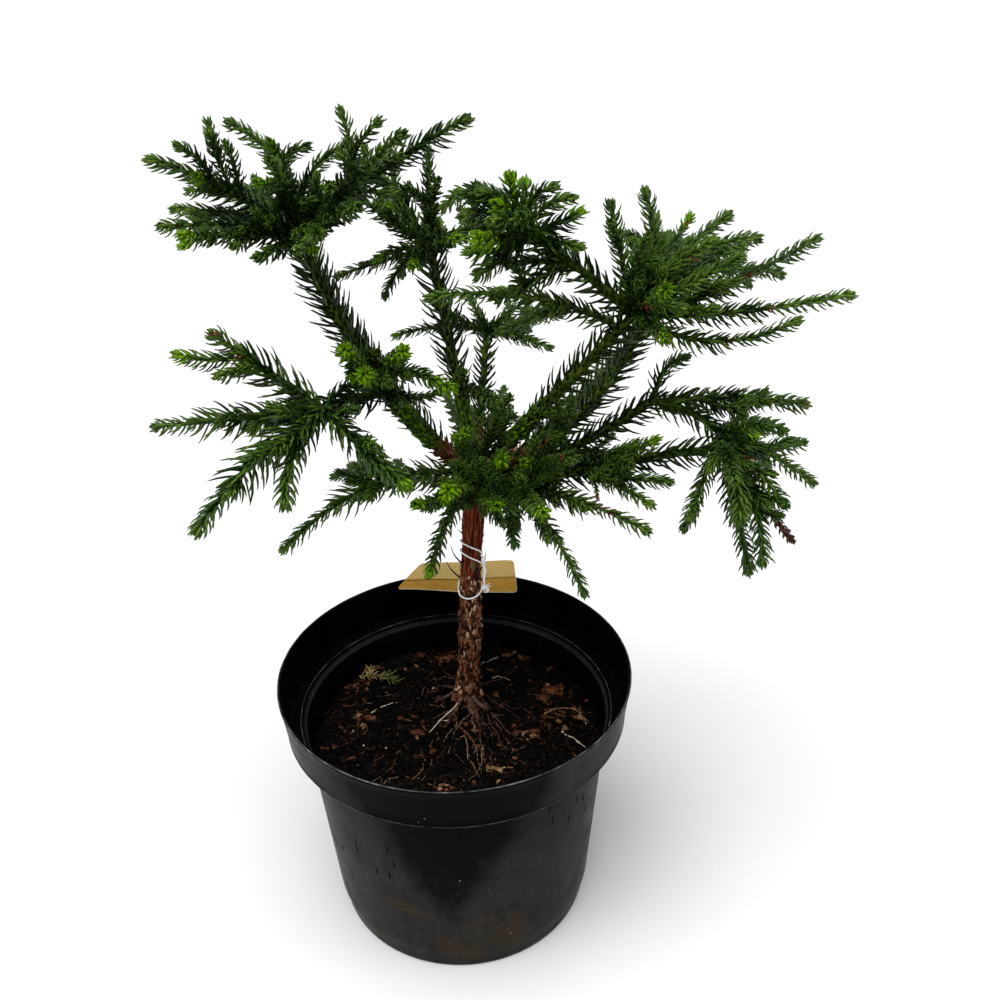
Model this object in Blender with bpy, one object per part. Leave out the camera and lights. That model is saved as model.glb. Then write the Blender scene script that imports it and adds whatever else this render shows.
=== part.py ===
"""Potted dwarf japanese cedar in a round nursery pot.

Metres, +Z up.  The origin is the centre of the pot's flat underside.
The plant leans a little towards +X.  Headings are degrees in plan, counted
from +X towards +Y.  Rises are degrees above level.  Lengths are in mm.

The trunk stands on the compost, tapers to a fork, and carries boughs.  Every
bough ends in a hub.  A mass of foliage is a hub with its own shoots, and the
needle sleeves of the boughs that lead to it.
"""
import math
import random

import bmesh
import bpy
from mathutils import Vector

MM = 0.001
CLEAR = 0.0004            # gap kept between neighbouring solids
FLATTEN = 2.0             # degrees, facets flatter than this are merged

# ---------------------------------------------------------------- pot
POT_HEIGHT = 0.2014
RIM_RADIUS = 0.1275       # outside, at the top
COLLAR_HEIGHT = 0.0334    # turned-out band under the rim
COLLAR_LOW_RADIUS = 0.1234
BODY_TOP_RADIUS = 0.1113
FOOT_TOP_RADIUS = 0.0985  # where the body meets the chamfered foot
FOOT_HEIGHT = 0.018
BASE_RADIUS = 0.0952
WALL = 0.0015
LIP = 0.0021              # wall at the very rim
FLOOR = 0.0022
POT_SIDES = 28

# ---------------------------------------------------------------- compost
SOIL_EDGE = 0.1420        # level at the wall
SOIL_CROWN = 0.1500       # level round the trunk
SOIL_FLAT = 0.062         # radius of the level middle

# ---------------------------------------------------------------- trunk
TRUNK_FOOT = Vector((0.006, 0.032, SOIL_CROWN))
TRUNK_LEAN = Vector((0.014, -0.002, 0.195))
TRUNK_TOP_EXTRA = 0.006   # the stub above the highest bough
TRUNK_GIRTH = [           # how far up the trunk, radius in mm
    (0.0, 11.0), (0.05, 9.3), (0.10, 8.3), (0.17, 7.7), (0.33, 9.3),
    (0.44, 8.0), (0.53, 7.5), (0.62, 7.0), (0.70, 7.1), (0.78, 7.9), (1.0, 7.8)]
TRUNK_BEND = [            # how far up the trunk, sway to +X in mm
    (0.0, 0.0), (0.17, 0.9), (0.33, 0.8), (0.44, 0.1), (0.55, -0.7), (1.0, -1.1)]
FLARE = 0.0050            # extra radius of the buttresses at ground level

# surface roots: heading, reach from the trunk's axis, radius at the trunk
ROOTS = [
    (-62, 76, 4.2),
    (-78, 92, 3.4),
    (-85, 62, 3.8),
    (-50, 40, 3.6),
    (-118, 54, 3.6),
    (-160, 26, 3.4),
    (150, 26, 3.2),
    (60, 30, 3.4),
]

# ---------------------------------------------------------------- boughs
# name: (carried by, at, end x, y, z in mm, arch %, radius at base, at tip)
BOUGHS = {
    "left":           ("trunk", 0.97, (-81, 20, 512), -7, 5.0, 3.0),
    "centre":         ("trunk", 1.00, (-6, 70, 489), 0, 4.5, 2.8),
    "right":          ("trunk", 0.99, (118, -10, 468), 0, 5.0, 3.0),
    "right_second":   ("trunk", 0.95, (129, 35, 443), -10, 4.4, 2.6),
    "back":           ("trunk", 0.98, (29, 95, 422), 0, 3.2, 2.0),
    "right_low":      ("trunk", 0.93, (135, 10, 403), -3, 4.2, 2.8),
    "right_elbow":    ("right_low", 1.00, (177, -10, 388), 10, 2.6, 2.2),
    "right_mid":      ("trunk", 0.90, (170, -18, 382), 2, 4.0, 2.4),
    "left_low":       ("left", 0.43, (-72, -20, 416), 4, 3.2, 2.4),
    "upper_mid":      ("right", 1.00, (54, -45, 529), 2, 2.8, 2.0),
    "rear_left":      ("trunk", 0.96, (-105, 105, 505), -6, 4.5, 2.6),
    "rear_right":     ("trunk", 0.94, (165, 95, 462), -6, 4.5, 2.6),
    "rear_low_right": ("trunk", 0.86, (82, 90, 314), 8, 3.6, 2.2),
    "rear_low_left":  ("trunk", 0.90, (-42, 85, 312), 8, 3.6, 2.2),
}

# ---------------------------------------------------------------- foliage
HUB = 15.0                # mm, usual radius of the clump at a hub
# name: (hub bough, sleeved boughs, hub radius, shoots)
# shoot: (name, from, at, heading, rise, length, arch %, swing %, radius)
# "from" is the hub, one of the mass's shoots, or a bough.
MASSES = {
    "base_whorl": ("trunk", [], 19, [
        ("b1", "hub", 0, -112, 16, 98, -5, 0, 8),
        ("b2", "hub", 0, -98, 23, 112, 0, 0, 10),
        ("b3", "hub", 0, -111, -19, 90, 3, -4, 9),
        ("b4", "hub", 0, -82, 17, 103, -3, 0, 10),
        ("b5", "hub", 0, -151, -6, 142, 15, 0, 9),
        ("b6", "hub", 0, -95, 47, 80, 0, -5, 8),
        ("b7", "hub", 0, -76, 33, 88, 0, 3, 8),
        ("b8", "hub", 0, -49, 63, 78, 3, 0, 7),
    ]),
    "left_leader": ("left", ["left"], 0, [
        ("ll1", "left", .50, -102, 36, 67, 0, 0, 10),
        ("ll2", "left", .48, -91, 26, 75, 0, 0, 10),
        ("ll3", "left", .51, -67, 31, 73, 0, 0, 10),
        ("ll4", "left", .50, -41, 8, 66, 11, 0, 9),
    ]),
    "centre_leader": ("centre", ["centre"], 0, [
        ("cc1", "centre", .38, -64, 12, 62, 5, 0, 9),
    ]),
    "right_leader": ("right", ["right"], 0, []),
    "right_second": ("right_second", ["right_second"], 0, []),
    "right_inner": ("trunk", ["right_low", "right_mid"], 0, [
        ("ri1", "right_low", .55, -36, 20, 66, -10, -8, 9),
        ("ri2", "right_mid", .46, -34, 9, 68, 4, -10, 9),
        ("ri3", "right_mid", .48, -54, 2, 66, 6, -4, 8),
        ("ri4", "right_mid", .15, -40, 3, 113, 10, -6, 9),
        ("ri6", "right_mid", .15, -60, -20, 100, 12, 0, 8),
        ("ri7", "right_mid", .12, -84, 0, 74, 8, 0, 9),
        ("ri8", "right_mid", .14, -78, 20, 110, 3, 0, 10),
        ("ri9", "right_low", .34, -57, 58, 73, -7, 0, 8),
        ("ri10", "right_low", .20, -60, 32, 86, 0, -5, 9),
    ]),
    "left_lower": ("left_low", ["left_low"], HUB, [
        ("lm1", "hub", 0, 180, 40, 79, 0, 0, 10),
        ("lm2", "lm1", .70, -165, 9, 40, -6, 0, 8),
        ("lm4", "hub", 0, 175, -7, 109, 0, 0, 9),
        ("lm5", "hub", 0, -152, -35, 107, 7, 0, 10),
        ("lm6", "hub", 0, -111, -36, 67, 4, -9, 9),
        ("lm7", "hub", 0, -38, -27, 74, 0, 0, 10),
        ("lm8", "hub", 0, -121, -4, 70, -5, 0, 9),
        ("lm10", "hub", 0, 118, -25, 75, 5, 0, 9),
    ]),
    "upper_left": ("left", [], 17, [
        ("ul1", "hub", 0, -165, 33, 95, 5, 0, 10),
        ("ul2", "ul1", .48, 123, 53, 46, -2, 3, 8),
        ("ul5", "hub", 0, -154, 12, 82, 4, 0, 10),
        ("ul6", "hub", 0, 176, 13, 77, 5, 0, 10),
        ("ul7", "hub", 0, -132, 13, 83, 0, -5, 10),
        ("ul8", "hub", 0, 148, 53, 79, 15, -7, 10),
        ("ul12", "hub", 0, 45, 48, 65, 16, 10, 9),
        ("ul13", "hub", 0, 37, 63, 77, -17, -14, 9),
        ("ul14", "ul13", .70, -16, 49, 29, 3, -6, 8),
        ("ul15", "hub", 0, -43, 36, 119, 2, 0, 10),
        ("ul16", "hub", 0, 6, 32, 122, 3, 2, 10),
        ("ul17", "hub", 0, -56, 23, 85, 2, 0, 10),
        ("ul18", "hub", 0, -73, 16, 76, 2, 0, 10),
        ("ul19", "hub", 0, -115, 0, 45, 0, 3, 9),
        ("ul22", "hub", 0, 105, -12, 85, 8, 0, 10),
        ("ul23", "hub", 0, 75, 12, 75, 8, 0, 10),
    ]),
    "top_centre": ("centre", [], HUB, [
        ("c1", "hub", 0, 89, 71, 63, 0, 0, 9),
        ("c3", "hub", 0, 167, 34, 56, 2, 0, 10),
        ("c4", "hub", 0, -143, 1, 42, 9, 0, 9),
        ("c5", "hub", 0, -100, 5, 51, 0, 0, 9),
        ("c6", "hub", 0, -69, 21, 58, 4, 0, 9),
        ("c7", "hub", 0, -166, -11, 63, 2, 0, 8),
        ("c8", "hub", 0, -154, -38, 43, 12, -5, 8),
        ("c10", "hub", 0, 18, 20, 51, 3, 0, 9),
        ("c12", "hub", 0, 93, 12, 75, 5, 0, 10),
        ("c13", "hub", 0, 57, -3, 80, 5, 0, 10),
        ("c14", "hub", 0, 122, 28, 85, 5, 0, 10),
    ]),
    "right_upper": ("right", [], 17, [
        ("r1", "hub", 0, 124, 69, 67, 0, 0, 10),
        ("r2", "hub", 0, 65, 80, 72, 0, -12, 10),
        ("r3", "hub", 0, 46, 42, 73, 2, 0, 8),
        ("r4", "hub", 0, 33, 34, 88, 6, 0, 10),
        ("r5", "hub", 0, 15, 27, 88, 14, 0, 10),
        ("r6", "hub", 0, -10, 32, 71, 0, 0, 10),
        ("r7", "hub", 0, 19, 15, 128, -4, 0, 10),
        ("r8", "hub", 0, 4, 3, 133, -3, 0, 9),
        ("r9", "hub", 0, -6, -1, 97, -15, 0, 9),
        ("r10", "hub", 0, -78, 32, 60, 0, 0, 9),
        ("r11", "hub", 0, -72, -1, 42, 5, 6, 10),
        ("r12", "hub", 0, -83, 65, 60, 2, -8, 9),
        ("r14", "hub", 0, 55, 21, 79, 11, 9, 9),
    ]),
    "upper_mid": ("upper_mid", ["upper_mid"], 13, [
        ("m1", "hub", 0, -131, 67, 35, -3, -4, 9),
        ("m3", "hub", 0, 32, 50, 29, 22, 9, 8),
        ("m4", "hub", 0, 0, 36, 30, 17, 0, 8),
        ("m5", "hub", 0, 26, 12, 34, -5, 0, 9),
        ("m7", "hub", 0, -96, 25, 46, 0, 0, 9),
        ("m8", "hub", 0, -130, 8, 41, -3, 0, 10),
        ("m10", "hub", 0, -160, -34, 36, -5, 0, 9),
        ("m11", "hub", 0, 145, 4, 44, 14, -4, 9),
        ("m12", "hub", 0, 137, 3, 65, 25, 0, 8),
    ]),
    "middle_long": ("right", [], 0, [
        ("h1", "right", .93, -166, 15, 121, 8, 0, 9),
    ]),
    "centre_fan": ("back", ["back"], 10, [
        ("f1", "hub", 0, -13, -11, 46, 4, 0, 8),
        ("f2", "hub", 0, -6, 14, 53, 6, 0, 8),
        ("f3", "hub", 0, -171, 2, 65, 8, 0, 7),
        ("f4", "hub", 0, 172, 30, 40, -4, 0, 8),
        ("f7", "hub", 0, 90, -20, 60, 5, 0, 9),
        ("f8", "hub", 0, 55, -15, 55, 5, 0, 9),
    ]),
    "right_lower": ("right_elbow", ["right_elbow"], HUB, [
        ("rl1", "right_elbow", .05, 27, 50, 35, 20, 8, 9),
        ("rl2", "right_elbow", .05, 11, -7, 106, 3, 0, 10),
        ("rl3", "hub", 0, 23, -9, 51, 12, 0, 9),
        ("rl4", "hub", 0, 26, -17, 73, -10, 0, 9),
        ("rl5", "hub", 0, 9, -32, 79, 4, 0, 8),
        ("rl6", "hub", 0, -27, -42, 61, 3, 0, 9),
        ("rl7", "hub", 0, 0, -56, 97, -2, 0, 9),
        ("rl8", "hub", 0, -34, -67, 92, 6, 4, 9),
        ("rl9", "hub", 0, -21, -75, 101, 0, 0, 9),
        ("rl10", "hub", 0, -92, -4, 55, 0, 0, 9),
        ("rl12", "hub", 0, -140, -62, 65, 0, 0, 9),
        ("rl15", "hub", 0, 67, -27, 80, 5, 0, 10),
    ]),
    "rear_left": ("rear_left", ["rear_left"], HUB, [
        ("ql1", "hub", 0, 172, 18, 58, 5, 0, 10),
        ("ql2", "hub", 0, 125, 5, 70, 5, 0, 10),
        ("ql3", "hub", 0, 82, 8, 66, 5, 0, 10),
        ("ql4", "hub", 0, 105, 48, 52, 5, 0, 10),
        ("ql5", "hub", 0, 148, -18, 55, 8, 0, 10),
    ]),
    "rear_right": ("rear_right", ["rear_right"], HUB, [
        ("qr1", "hub", 0, 8, -5, 72, 5, 0, 10),
        ("qr2", "hub", 0, 48, 0, 78, 5, 0, 10),
        ("qr3", "hub", 0, 90, 5, 75, 5, 0, 10),
        ("qr4", "hub", 0, 68, -28, 62, 8, 0, 10),
        ("qr5", "hub", 0, 122, 10, 70, 5, 0, 10),
    ]),
    "rear_middle": ("trunk", [], 0, [
        ("qm1", "trunk", .97, 92, 4, 104, 6, 0, 10),
        ("qm2", "trunk", .97, 76, 20, 92, 6, 0, 10),
        ("qm3", "trunk", .97, 106, 22, 82, 6, 0, 10),
    ]),
    "rear_low_right": ("rear_low_right", ["rear_low_right"], 12, [
        ("qx1", "hub", 0, 20, -8, 58, 8, 0, 9),
        ("qx2", "hub", 0, 60, -12, 65, 8, 0, 9),
        ("qx3", "hub", 0, 100, -8, 60, 8, 0, 9),
    ]),
    "rear_low_left": ("rear_low_left", ["rear_low_left"], 12, [
        ("qy1", "hub", 0, 172, 0, 48, 8, 0, 9),
        ("qy2", "hub", 0, 132, -10, 60, 8, 0, 9),
        ("qy3", "hub", 0, 90, -5, 65, 8, 0, 9),
    ]),
}
SHORT_SHOOT = 57          # mm, a shoot below this has a simpler skin
SLEEVE_R = 10.0           # mm, needle sleeve round a bough
SLEEVES = {"back": 6.5, "upper_mid": 9, "right_elbow": 8, "left_low": 8,
           "right_low": 9, "right_mid": 9, "right_second": 9}

# ---------------------------------------------------------------- card, string
CARD_THICK = 0.0006
CARD_FRONT = ((-0.0495, 0.1050), (0.0475, 0.0965))   # plan corners, in the pot
CARD_BACK = ((-0.0320, 0.1405), (0.0455, 0.1420))    # plan corners, outside
CARD_DIP = 0.0030         # how far the front edge hangs below the rim
STRING_R = 0.0007
TIE_HIGH = 0.2815
TIE_LOW = 0.2475

random.seed(41)

for ob in list(bpy.data.objects):
    bpy.data.objects.remove(ob, do_unlink=True)
COLL = bpy.context.scene.collection


def material(name, rgb, rough, metal=0.0):
    mat = bpy.data.materials.new(name)
    mat.use_nodes = True
    bsdf = mat.node_tree.nodes["Principled BSDF"]
    bsdf.inputs["Base Color"].default_value = (*rgb, 1.0)
    bsdf.inputs["Roughness"].default_value = rough
    bsdf.inputs["Metallic"].default_value = metal
    return mat


MAT_POT = material("pot_plastic", (0.012, 0.013, 0.014), 0.35)
MAT_SOIL = material("compost", (0.022, 0.015, 0.011), 0.95)
MAT_BARK = material("bark", (0.115, 0.050, 0.032), 0.85)
MAT_LEAF = material("needles", (0.035, 0.085, 0.022), 0.55)
MAT_CARD = material("card", (0.42, 0.27, 0.14), 0.80)
MAT_STRING = material("string", (0.75, 0.75, 0.73), 0.90)


def unit(heading, rise):
    h, r = math.radians(heading), math.radians(rise)
    return Vector((math.cos(h) * math.cos(r), math.sin(h) * math.cos(r), math.sin(r)))


class Limb:
    """A limb's centre line: a chord with an arch and a sideways swing."""

    def __init__(self, base, chord, arch=0.0, swing=0.0):
        self.base, self.chord = base.copy(), chord.copy()
        d = chord.normalized()
        side = Vector((-d.y, d.x, 0.0)).normalized()
        up = d.cross(side)
        if up.z < 0:
            up = -up
        self.bow = (up * arch + side * swing) * (chord.length / 100.0)

    def at(self, t):
        return self.base + self.chord * t + self.bow * (4 * t * (1 - t))

    def way(self, t):
        return (self.chord + self.bow * (4 - 8 * t)).normalized()


def trunk_axis(t):
    return TRUNK_FOOT + TRUNK_LEAN * t


def between(table, t):
    """The value of a table of (t, mm) pairs at t, in metres."""
    if t <= table[0][0]:
        return table[0][1] * MM
    for (t0, a), (t1, b) in zip(table[:-1], table[1:]):
        if t <= t1:
            return (a + (b - a) * (t - t0) / (t1 - t0)) * MM
    return table[-1][1] * MM


def trunk_centre(t):
    c = trunk_axis(t)
    return Vector((c.x + between(TRUNK_BEND, t), c.y, c.z))


def rings_to_mesh(name, rings, tip=None):
    """A closed skin over rings of points, first ring at the base."""
    bm = bmesh.new()
    rows = [[bm.verts.new(p) for p in ring] for ring in rings]
    n = len(rows[0])
    for lo, hi in zip(rows[:-1], rows[1:]):
        for k in range(n):
            bm.faces.new((lo[k], lo[(k + 1) % n], hi[(k + 1) % n], hi[k]))
    bm.faces.new(rows[0][::-1])
    if tip is None:
        bm.faces.new(rows[-1])
    else:
        v = bm.verts.new(tip)
        for k in range(n):
            bm.faces.new((rows[-1][k], rows[-1][(k + 1) % n], v))
    bmesh.ops.recalc_face_normals(bm, faces=bm.faces)
    me = bpy.data.meshes.new(name)
    bm.to_mesh(me)
    bm.free()
    return me


def tube(name, limb, stations, sides, tip_t=None, turn=0.0):
    """stations: (t, radius). The section turns with the limb."""
    d0 = limb.way(stations[0][0])
    ref = Vector((0, 0, 1)) if abs(d0.z) < 0.9 else Vector((1, 0, 0))
    rings = []
    x = d0.cross(ref).normalized()
    for t, r in stations:
        d = limb.way(t)
        x = (x - d * x.dot(d)).normalized()
        y = d.cross(x)
        c = limb.at(t)
        rings.append([c + (x * math.cos(a) + y * math.sin(a)) * r
                      for a in (turn + 2 * math.pi * k / sides for k in range(sides))])
    tip = limb.at(tip_t) if tip_t is not None else None
    return rings_to_mesh(name, rings, tip)


def node(name, mesh, mat=None):
    ob = bpy.data.objects.new(name, mesh)
    COLL.objects.link(ob)
    if mat is not None:
        mesh.materials.clear()
        mesh.materials.append(mat)
    return ob


def volume(mesh):
    bm = bmesh.new()
    bm.from_mesh(mesh)
    v = bm.calc_volume(signed=True)
    loose = sum(1 for e in bm.edges if not e.is_manifold)
    bm.free()
    return v, loose


def boolean(ob, tools, operation):
    """Apply one exact boolean of several closed tools to ob's mesh.

    Facets that happen to meet edge on edge can spoil a cut, so a spoilt
    result is thrown away and the tools are swelled a touch for another try.
    """
    if not tools:
        return
    before, _ = volume(ob.data)
    group = bpy.data.collections.new("tools")
    COLL.children.link(group)
    others = []
    for mesh in tools:
        if volume(mesh)[0] < 0:
            mesh.flip_normals()
        other = bpy.data.objects.new("tool", mesh)
        other.hide_render = True
        other.display_type = "WIRE"
        group.objects.link(other)
        others.append(other)
    middles = [sum((v.co for v in o.data.vertices), Vector()) / len(o.data.vertices)
               for o in others]
    best = None
    for attempt in range(6):
        for k, other in enumerate(others):
            swell = 1.0 + 0.0012 * attempt * (1 + k % 3)
            other.scale = (swell, swell, swell)
            other.location = middles[k] * (1 - swell)
        mod = ob.modifiers.new("cut", "BOOLEAN")
        mod.operation = operation
        mod.solver = "EXACT"
        mod.operand_type = "COLLECTION"
        mod.collection = group
        bpy.context.view_layer.update()
        deps = bpy.context.evaluated_depsgraph_get()
        out = bpy.data.meshes.new_from_object(ob.evaluated_get(deps))
        ob.modifiers.clear()
        after, loose = volume(out)
        if after < 0:
            out.flip_normals()
            after = -after
        if operation == "UNION":
            good = after >= before * 0.999
        else:
            good = 0 < after <= before * 1.001
        if good and (best is None or loose < best[0]):
            best = (loose, out)
        if good and not loose:
            break
    ob.data = best[1]
    for other in others:
        bpy.data.objects.remove(other, do_unlink=True)
    bpy.data.collections.remove(group)


def tidy(ob):
    """Keep the largest body and drop slivers."""
    bm = bmesh.new()
    bm.from_mesh(ob.data)
    bmesh.ops.remove_doubles(bm, verts=bm.verts, dist=2e-6)
    bmesh.ops.dissolve_limit(bm, angle_limit=math.radians(FLATTEN), verts=bm.verts,
                             edges=bm.edges)
    todo, best = set(bm.faces), []
    while todo:
        seed = todo.pop()
        group, stack = [seed], [seed]
        while stack:
            for e in stack.pop().edges:
                for f in e.link_faces:
                    if f in todo:
                        todo.remove(f)
                        group.append(f)
                        stack.append(f)
        if sum(f.calc_area() for f in group) > sum(f.calc_area() for f in best):
            best = group
    keep = set(best)
    bmesh.ops.delete(bm, geom=[f for f in bm.faces if f not in keep], context="FACES")
    bmesh.ops.triangulate(bm, faces=bm.faces)
    bmesh.ops.recalc_face_normals(bm, faces=bm.faces)
    bm.to_mesh(ob.data)
    bm.free()


def overlap(a, b):
    """True if the boxes of two groups of meshes meet."""
    return all(a[0][i] <= b[1][i] and b[0][i] <= a[1][i] for i in range(3))


def span(meshes):
    pts = [v.co for me in meshes for v in me.vertices]
    return ([min(p[i] for p in pts) for i in range(3)],
            [max(p[i] for p in pts) for i in range(3)])


# ================================================================ pot
def pot_mesh():
    inner_ledge = POT_HEIGHT - COLLAR_HEIGHT + WALL
    collar_low = POT_HEIGHT - COLLAR_HEIGHT
    profile = [
        (BASE_RADIUS, 0.0),
        (BASE_RADIUS + 0.0008, 0.005),
        (FOOT_TOP_RADIUS, FOOT_HEIGHT),
        (BODY_TOP_RADIUS, collar_low),
        (COLLAR_LOW_RADIUS, collar_low),
        (RIM_RADIUS, POT_HEIGHT - 0.001),
        (RIM_RADIUS - 0.0004, POT_HEIGHT),
        (RIM_RADIUS - LIP, POT_HEIGHT),
        (COLLAR_LOW_RADIUS - WALL, inner_ledge),
        (BODY_TOP_RADIUS - WALL, inner_ledge),
        (FOOT_TOP_RADIUS - WALL, FOOT_HEIGHT),
        (BASE_RADIUS - WALL, FLOOR),
    ]
    rings = [[Vector((r * math.cos(a), r * math.sin(a), z))
              for a in (2 * math.pi * k / POT_SIDES for k in range(POT_SIDES))]
             for r, z in profile]
    return rings_to_mesh("pot", rings)


def body_inner_radius(z):
    f = (z - FOOT_HEIGHT) / (POT_HEIGHT - COLLAR_HEIGHT - FOOT_HEIGHT)
    return FOOT_TOP_RADIUS + (BODY_TOP_RADIUS - FOOT_TOP_RADIUS) * f - WALL


pot = node("pot", pot_mesh(), MAT_POT)


# ================================================================ compost
def soil_mesh():
    # the pot's wall is a polygon, so the compost stays inside its flats
    flat = math.cos(math.pi / POT_SIDES)
    gap = CLEAR + 0.0002

    def wall(z):
        return body_inner_radius(z) * flat - gap

    rings = []
    for r, z in [((BASE_RADIUS - WALL) * flat - gap, FLOOR + CLEAR),
                 (wall(FOOT_HEIGHT), FOOT_HEIGHT),
                 (wall(SOIL_EDGE), SOIL_EDGE),
                 (0.088, (SOIL_EDGE + SOIL_CROWN) / 2),
                 (SOIL_FLAT + 0.012, SOIL_CROWN - CLEAR)]:
        rings.append([Vector((r * math.cos(a), r * math.sin(a), z))
                      for a in (2 * math.pi * (k + 0.5) / 24 for k in range(24))])
    return rings_to_mesh("soil", rings)


soil = node("soil", soil_mesh(), MAT_SOIL)


# ================================================================ trunk
def trunk_radius(t, angle):
    r = between(TRUNK_GIRTH, t)
    lobes = 0.5 + 0.5 * math.cos(5 * angle + 0.6)
    flare = FLARE * math.exp(-t / 0.045) * lobes
    return r + flare + 0.00035 * math.sin(3 * angle + 9 * t)


def trunk_skin(grow):
    rings, sides = [], 12
    stations = [0, .02, .05, .10, .17, .33, .44, .53, .66, .78, .90, 1.0,
                1.0 + TRUNK_TOP_EXTRA / TRUNK_LEAN.z]
    for t in stations:
        c = trunk_centre(t)
        shrink = 0.72 if t > 1 else 1.0
        rings.append([c + Vector((math.cos(a), math.sin(a), 0))
                      * (trunk_radius(t, a) * shrink + grow)
                      for a in (2 * math.pi * k / sides for k in range(sides))])
    if grow:
        rings[0] = [p - Vector((0, 0, grow)) for p in rings[0]]
        rings[-1] = [p + Vector((0, 0, grow)) for p in rings[-1]]
    return rings_to_mesh("trunk", rings)


def root_skin(heading, reach, radius, grow):
    start = TRUNK_FOOT + unit(heading, 0) * 0.004 + Vector((0, 0, 0.0065))
    end = TRUNK_FOOT + unit(heading, 0) * (reach * MM) + Vector((0, 0, 0.0006))
    limb = Limb(start, end - start, -4.0, 5.0 if reach > 50 else 0.0)
    r = radius * MM
    stations = [(0.0, r + grow), (0.5, 0.70 * r + grow),
                (1.0, 0.28 * r + grow)]
    return tube("root", limb, stations, 5, turn=0.3)


trunk = node("trunk", trunk_skin(0.0), MAT_BARK)
boolean(trunk, [root_skin(h, reach, radius, 0.0) for h, reach, radius in ROOTS], "UNION")
# flat cut at ground level
ground = rings_to_mesh("ground", [
    [Vector((0.3 * x, 0.3 * y, z)) for x, y in ((-1, -1), (1, -1), (1, 1), (-1, 1))]
    for z in (SOIL_CROWN - 0.1, SOIL_CROWN)])
boolean(trunk, [ground], "DIFFERENCE")
tidy(trunk)
trunk.data.materials.clear()
trunk.data.materials.append(MAT_BARK)

# ================================================================ boughs
LIMBS = {}
for name, (carrier, at, end, arch, r0, r1) in BOUGHS.items():
    base = trunk_axis(at) if carrier == "trunk" else LIMBS[carrier].at(at)
    LIMBS[name] = Limb(base, Vector(end) * MM - base, arch)


def bough_skin(name, grow):
    _, _, _, _, r0, r1 = BOUGHS[name]
    r0, r1 = r0 * MM, r1 * MM
    stations = [(0.0, r0 * 1.15 + grow)]
    for t in (.3, .65):
        stations.append((t, r0 + (r1 - r0) * t + grow))
    stations.append((0.97, r1 * 0.9 + grow))
    # a cutter runs on a little past the limb's end
    return tube("bough", LIMBS[name], stations, 5,
                tip_t=1.0 + grow / LIMBS[name].chord.length)


bough_nodes, done = {}, []
for name in BOUGHS:
    ob = node("bough_" + name, bough_skin(name, 0.0), MAT_BARK)
    box = span([ob.data])
    cutters = [trunk_skin(CLEAR)] + [bough_skin(other, CLEAR) for other in done]
    boolean(ob, [c for c in cutters if overlap(box, span([c]))], "DIFFERENCE")
    tidy(ob)
    ob.data.materials.clear()
    ob.data.materials.append(MAT_BARK)
    bough_nodes[name] = ob
    done.append(name)


# ================================================================ foliage
def shoot_stations(radius, length, rough, grow, root):
    # the root lies a little behind the point the shoot springs from, by an
    # amount of its own, so that no two roots share a plane
    shape = [(-root, 0.55), (0.30, 1.0), (0.86, 0.80)]
    if length < SHORT_SHOOT:
        shape = [(-root, 0.60), (0.66, 0.95)]
    return [(t, radius * MM * k * w + grow) for (t, k), w in zip(shape, rough)]


def build_mass(name, grow, rough):
    """Skins of a mass: its hub, its sleeves and its shoots."""
    hub_bough, sleeves, hub_r, shoots = MASSES[name]
    hub = trunk_axis(0.985) if hub_bough == "trunk" else LIMBS[hub_bough].at(1.0)
    skins, own = [], {}
    if hub_r:
        bm = bmesh.new()
        bmesh.ops.create_icosphere(bm, subdivisions=1,
                                   radius=hub_r * 1.1 * MM + grow)
        for k, v in enumerate(bm.verts):
            v.co = hub + v.co * (0.9 + 0.2 * rough["hub"][k % 12])
        me = bpy.data.meshes.new("hub")
        bm.to_mesh(me)
        bm.free()
        skins.append(me)
    for bough in sleeves:
        limb = LIMBS[bough]
        r = SLEEVES.get(bough, SLEEVE_R) * MM
        last = 0.90 if hub_bough == bough and not hub_r else 1.0
        if hub_bough == bough and not hub_r:
            last = 1.0 - 0.019 / limb.chord.length
        first = 0.011 / limb.chord.length
        stations = [(first, 0.7 * r + grow)]
        for k, t in enumerate((.3, .55, .8)):
            t = first + (last - first) * t
            stations.append((t, r * (0.92 + 0.16 * rough["hub"][k]) + grow))
        stations.append((last, 0.75 * r + grow))
        skins.append(tube("sleeve", limb, stations, 5, turn=0.4))
    for k, row in enumerate(shoots):
        shoot, start, at, heading, rise, length, arch, swing, radius = row
        root = (1.0 + 0.43 * (k % 5)) / length
        base = (hub if start == "hub"
                else own[start].at(at) if start in own
                else trunk_axis(at) if start == "trunk"
                else LIMBS[start].at(at))
        limb = Limb(base, unit(heading, rise) * (length * MM), arch, swing)
        own[shoot] = limb
        skins.append(tube("shoot", limb, shoot_stations(radius, length, rough[shoot],
                                                       grow, root), 5,
                          tip_t=1.0 + grow / (length * MM), turn=rough[shoot][4]))
    return skins


ROUGH = {}
for name, (_, _, _, shoots) in MASSES.items():
    ROUGH[name] = {"hub": [random.random() for _ in range(12)]}
    for row in shoots:
        ROUGH[name][row[0]] = [random.uniform(0.9, 1.1) for _ in range(4)] + [random.uniform(0, 1)]

SPANS = {}
for name in MASSES:
    skins = build_mass(name, 0.0, ROUGH[name])
    ob = node("mass_" + name, skins[0], MAT_LEAF)
    boolean(ob, skins[1:], "UNION")
    box = span([ob.data])
    # cut round the trunk and the boughs, and clear of the masses made before
    cutters = [trunk_skin(CLEAR)] + [bough_skin(other, CLEAR) for other in BOUGHS]
    for other, other_box in SPANS.items():
        if overlap(box, other_box):
            cutters += build_mass(other, CLEAR, ROUGH[other])
    boolean(ob, [c for c in cutters if overlap(box, span([c]))], "DIFFERENCE")
    tidy(ob)
    ob.data.materials.clear()
    ob.data.materials.append(MAT_LEAF)
    SPANS[name] = span([ob.data])


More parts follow.
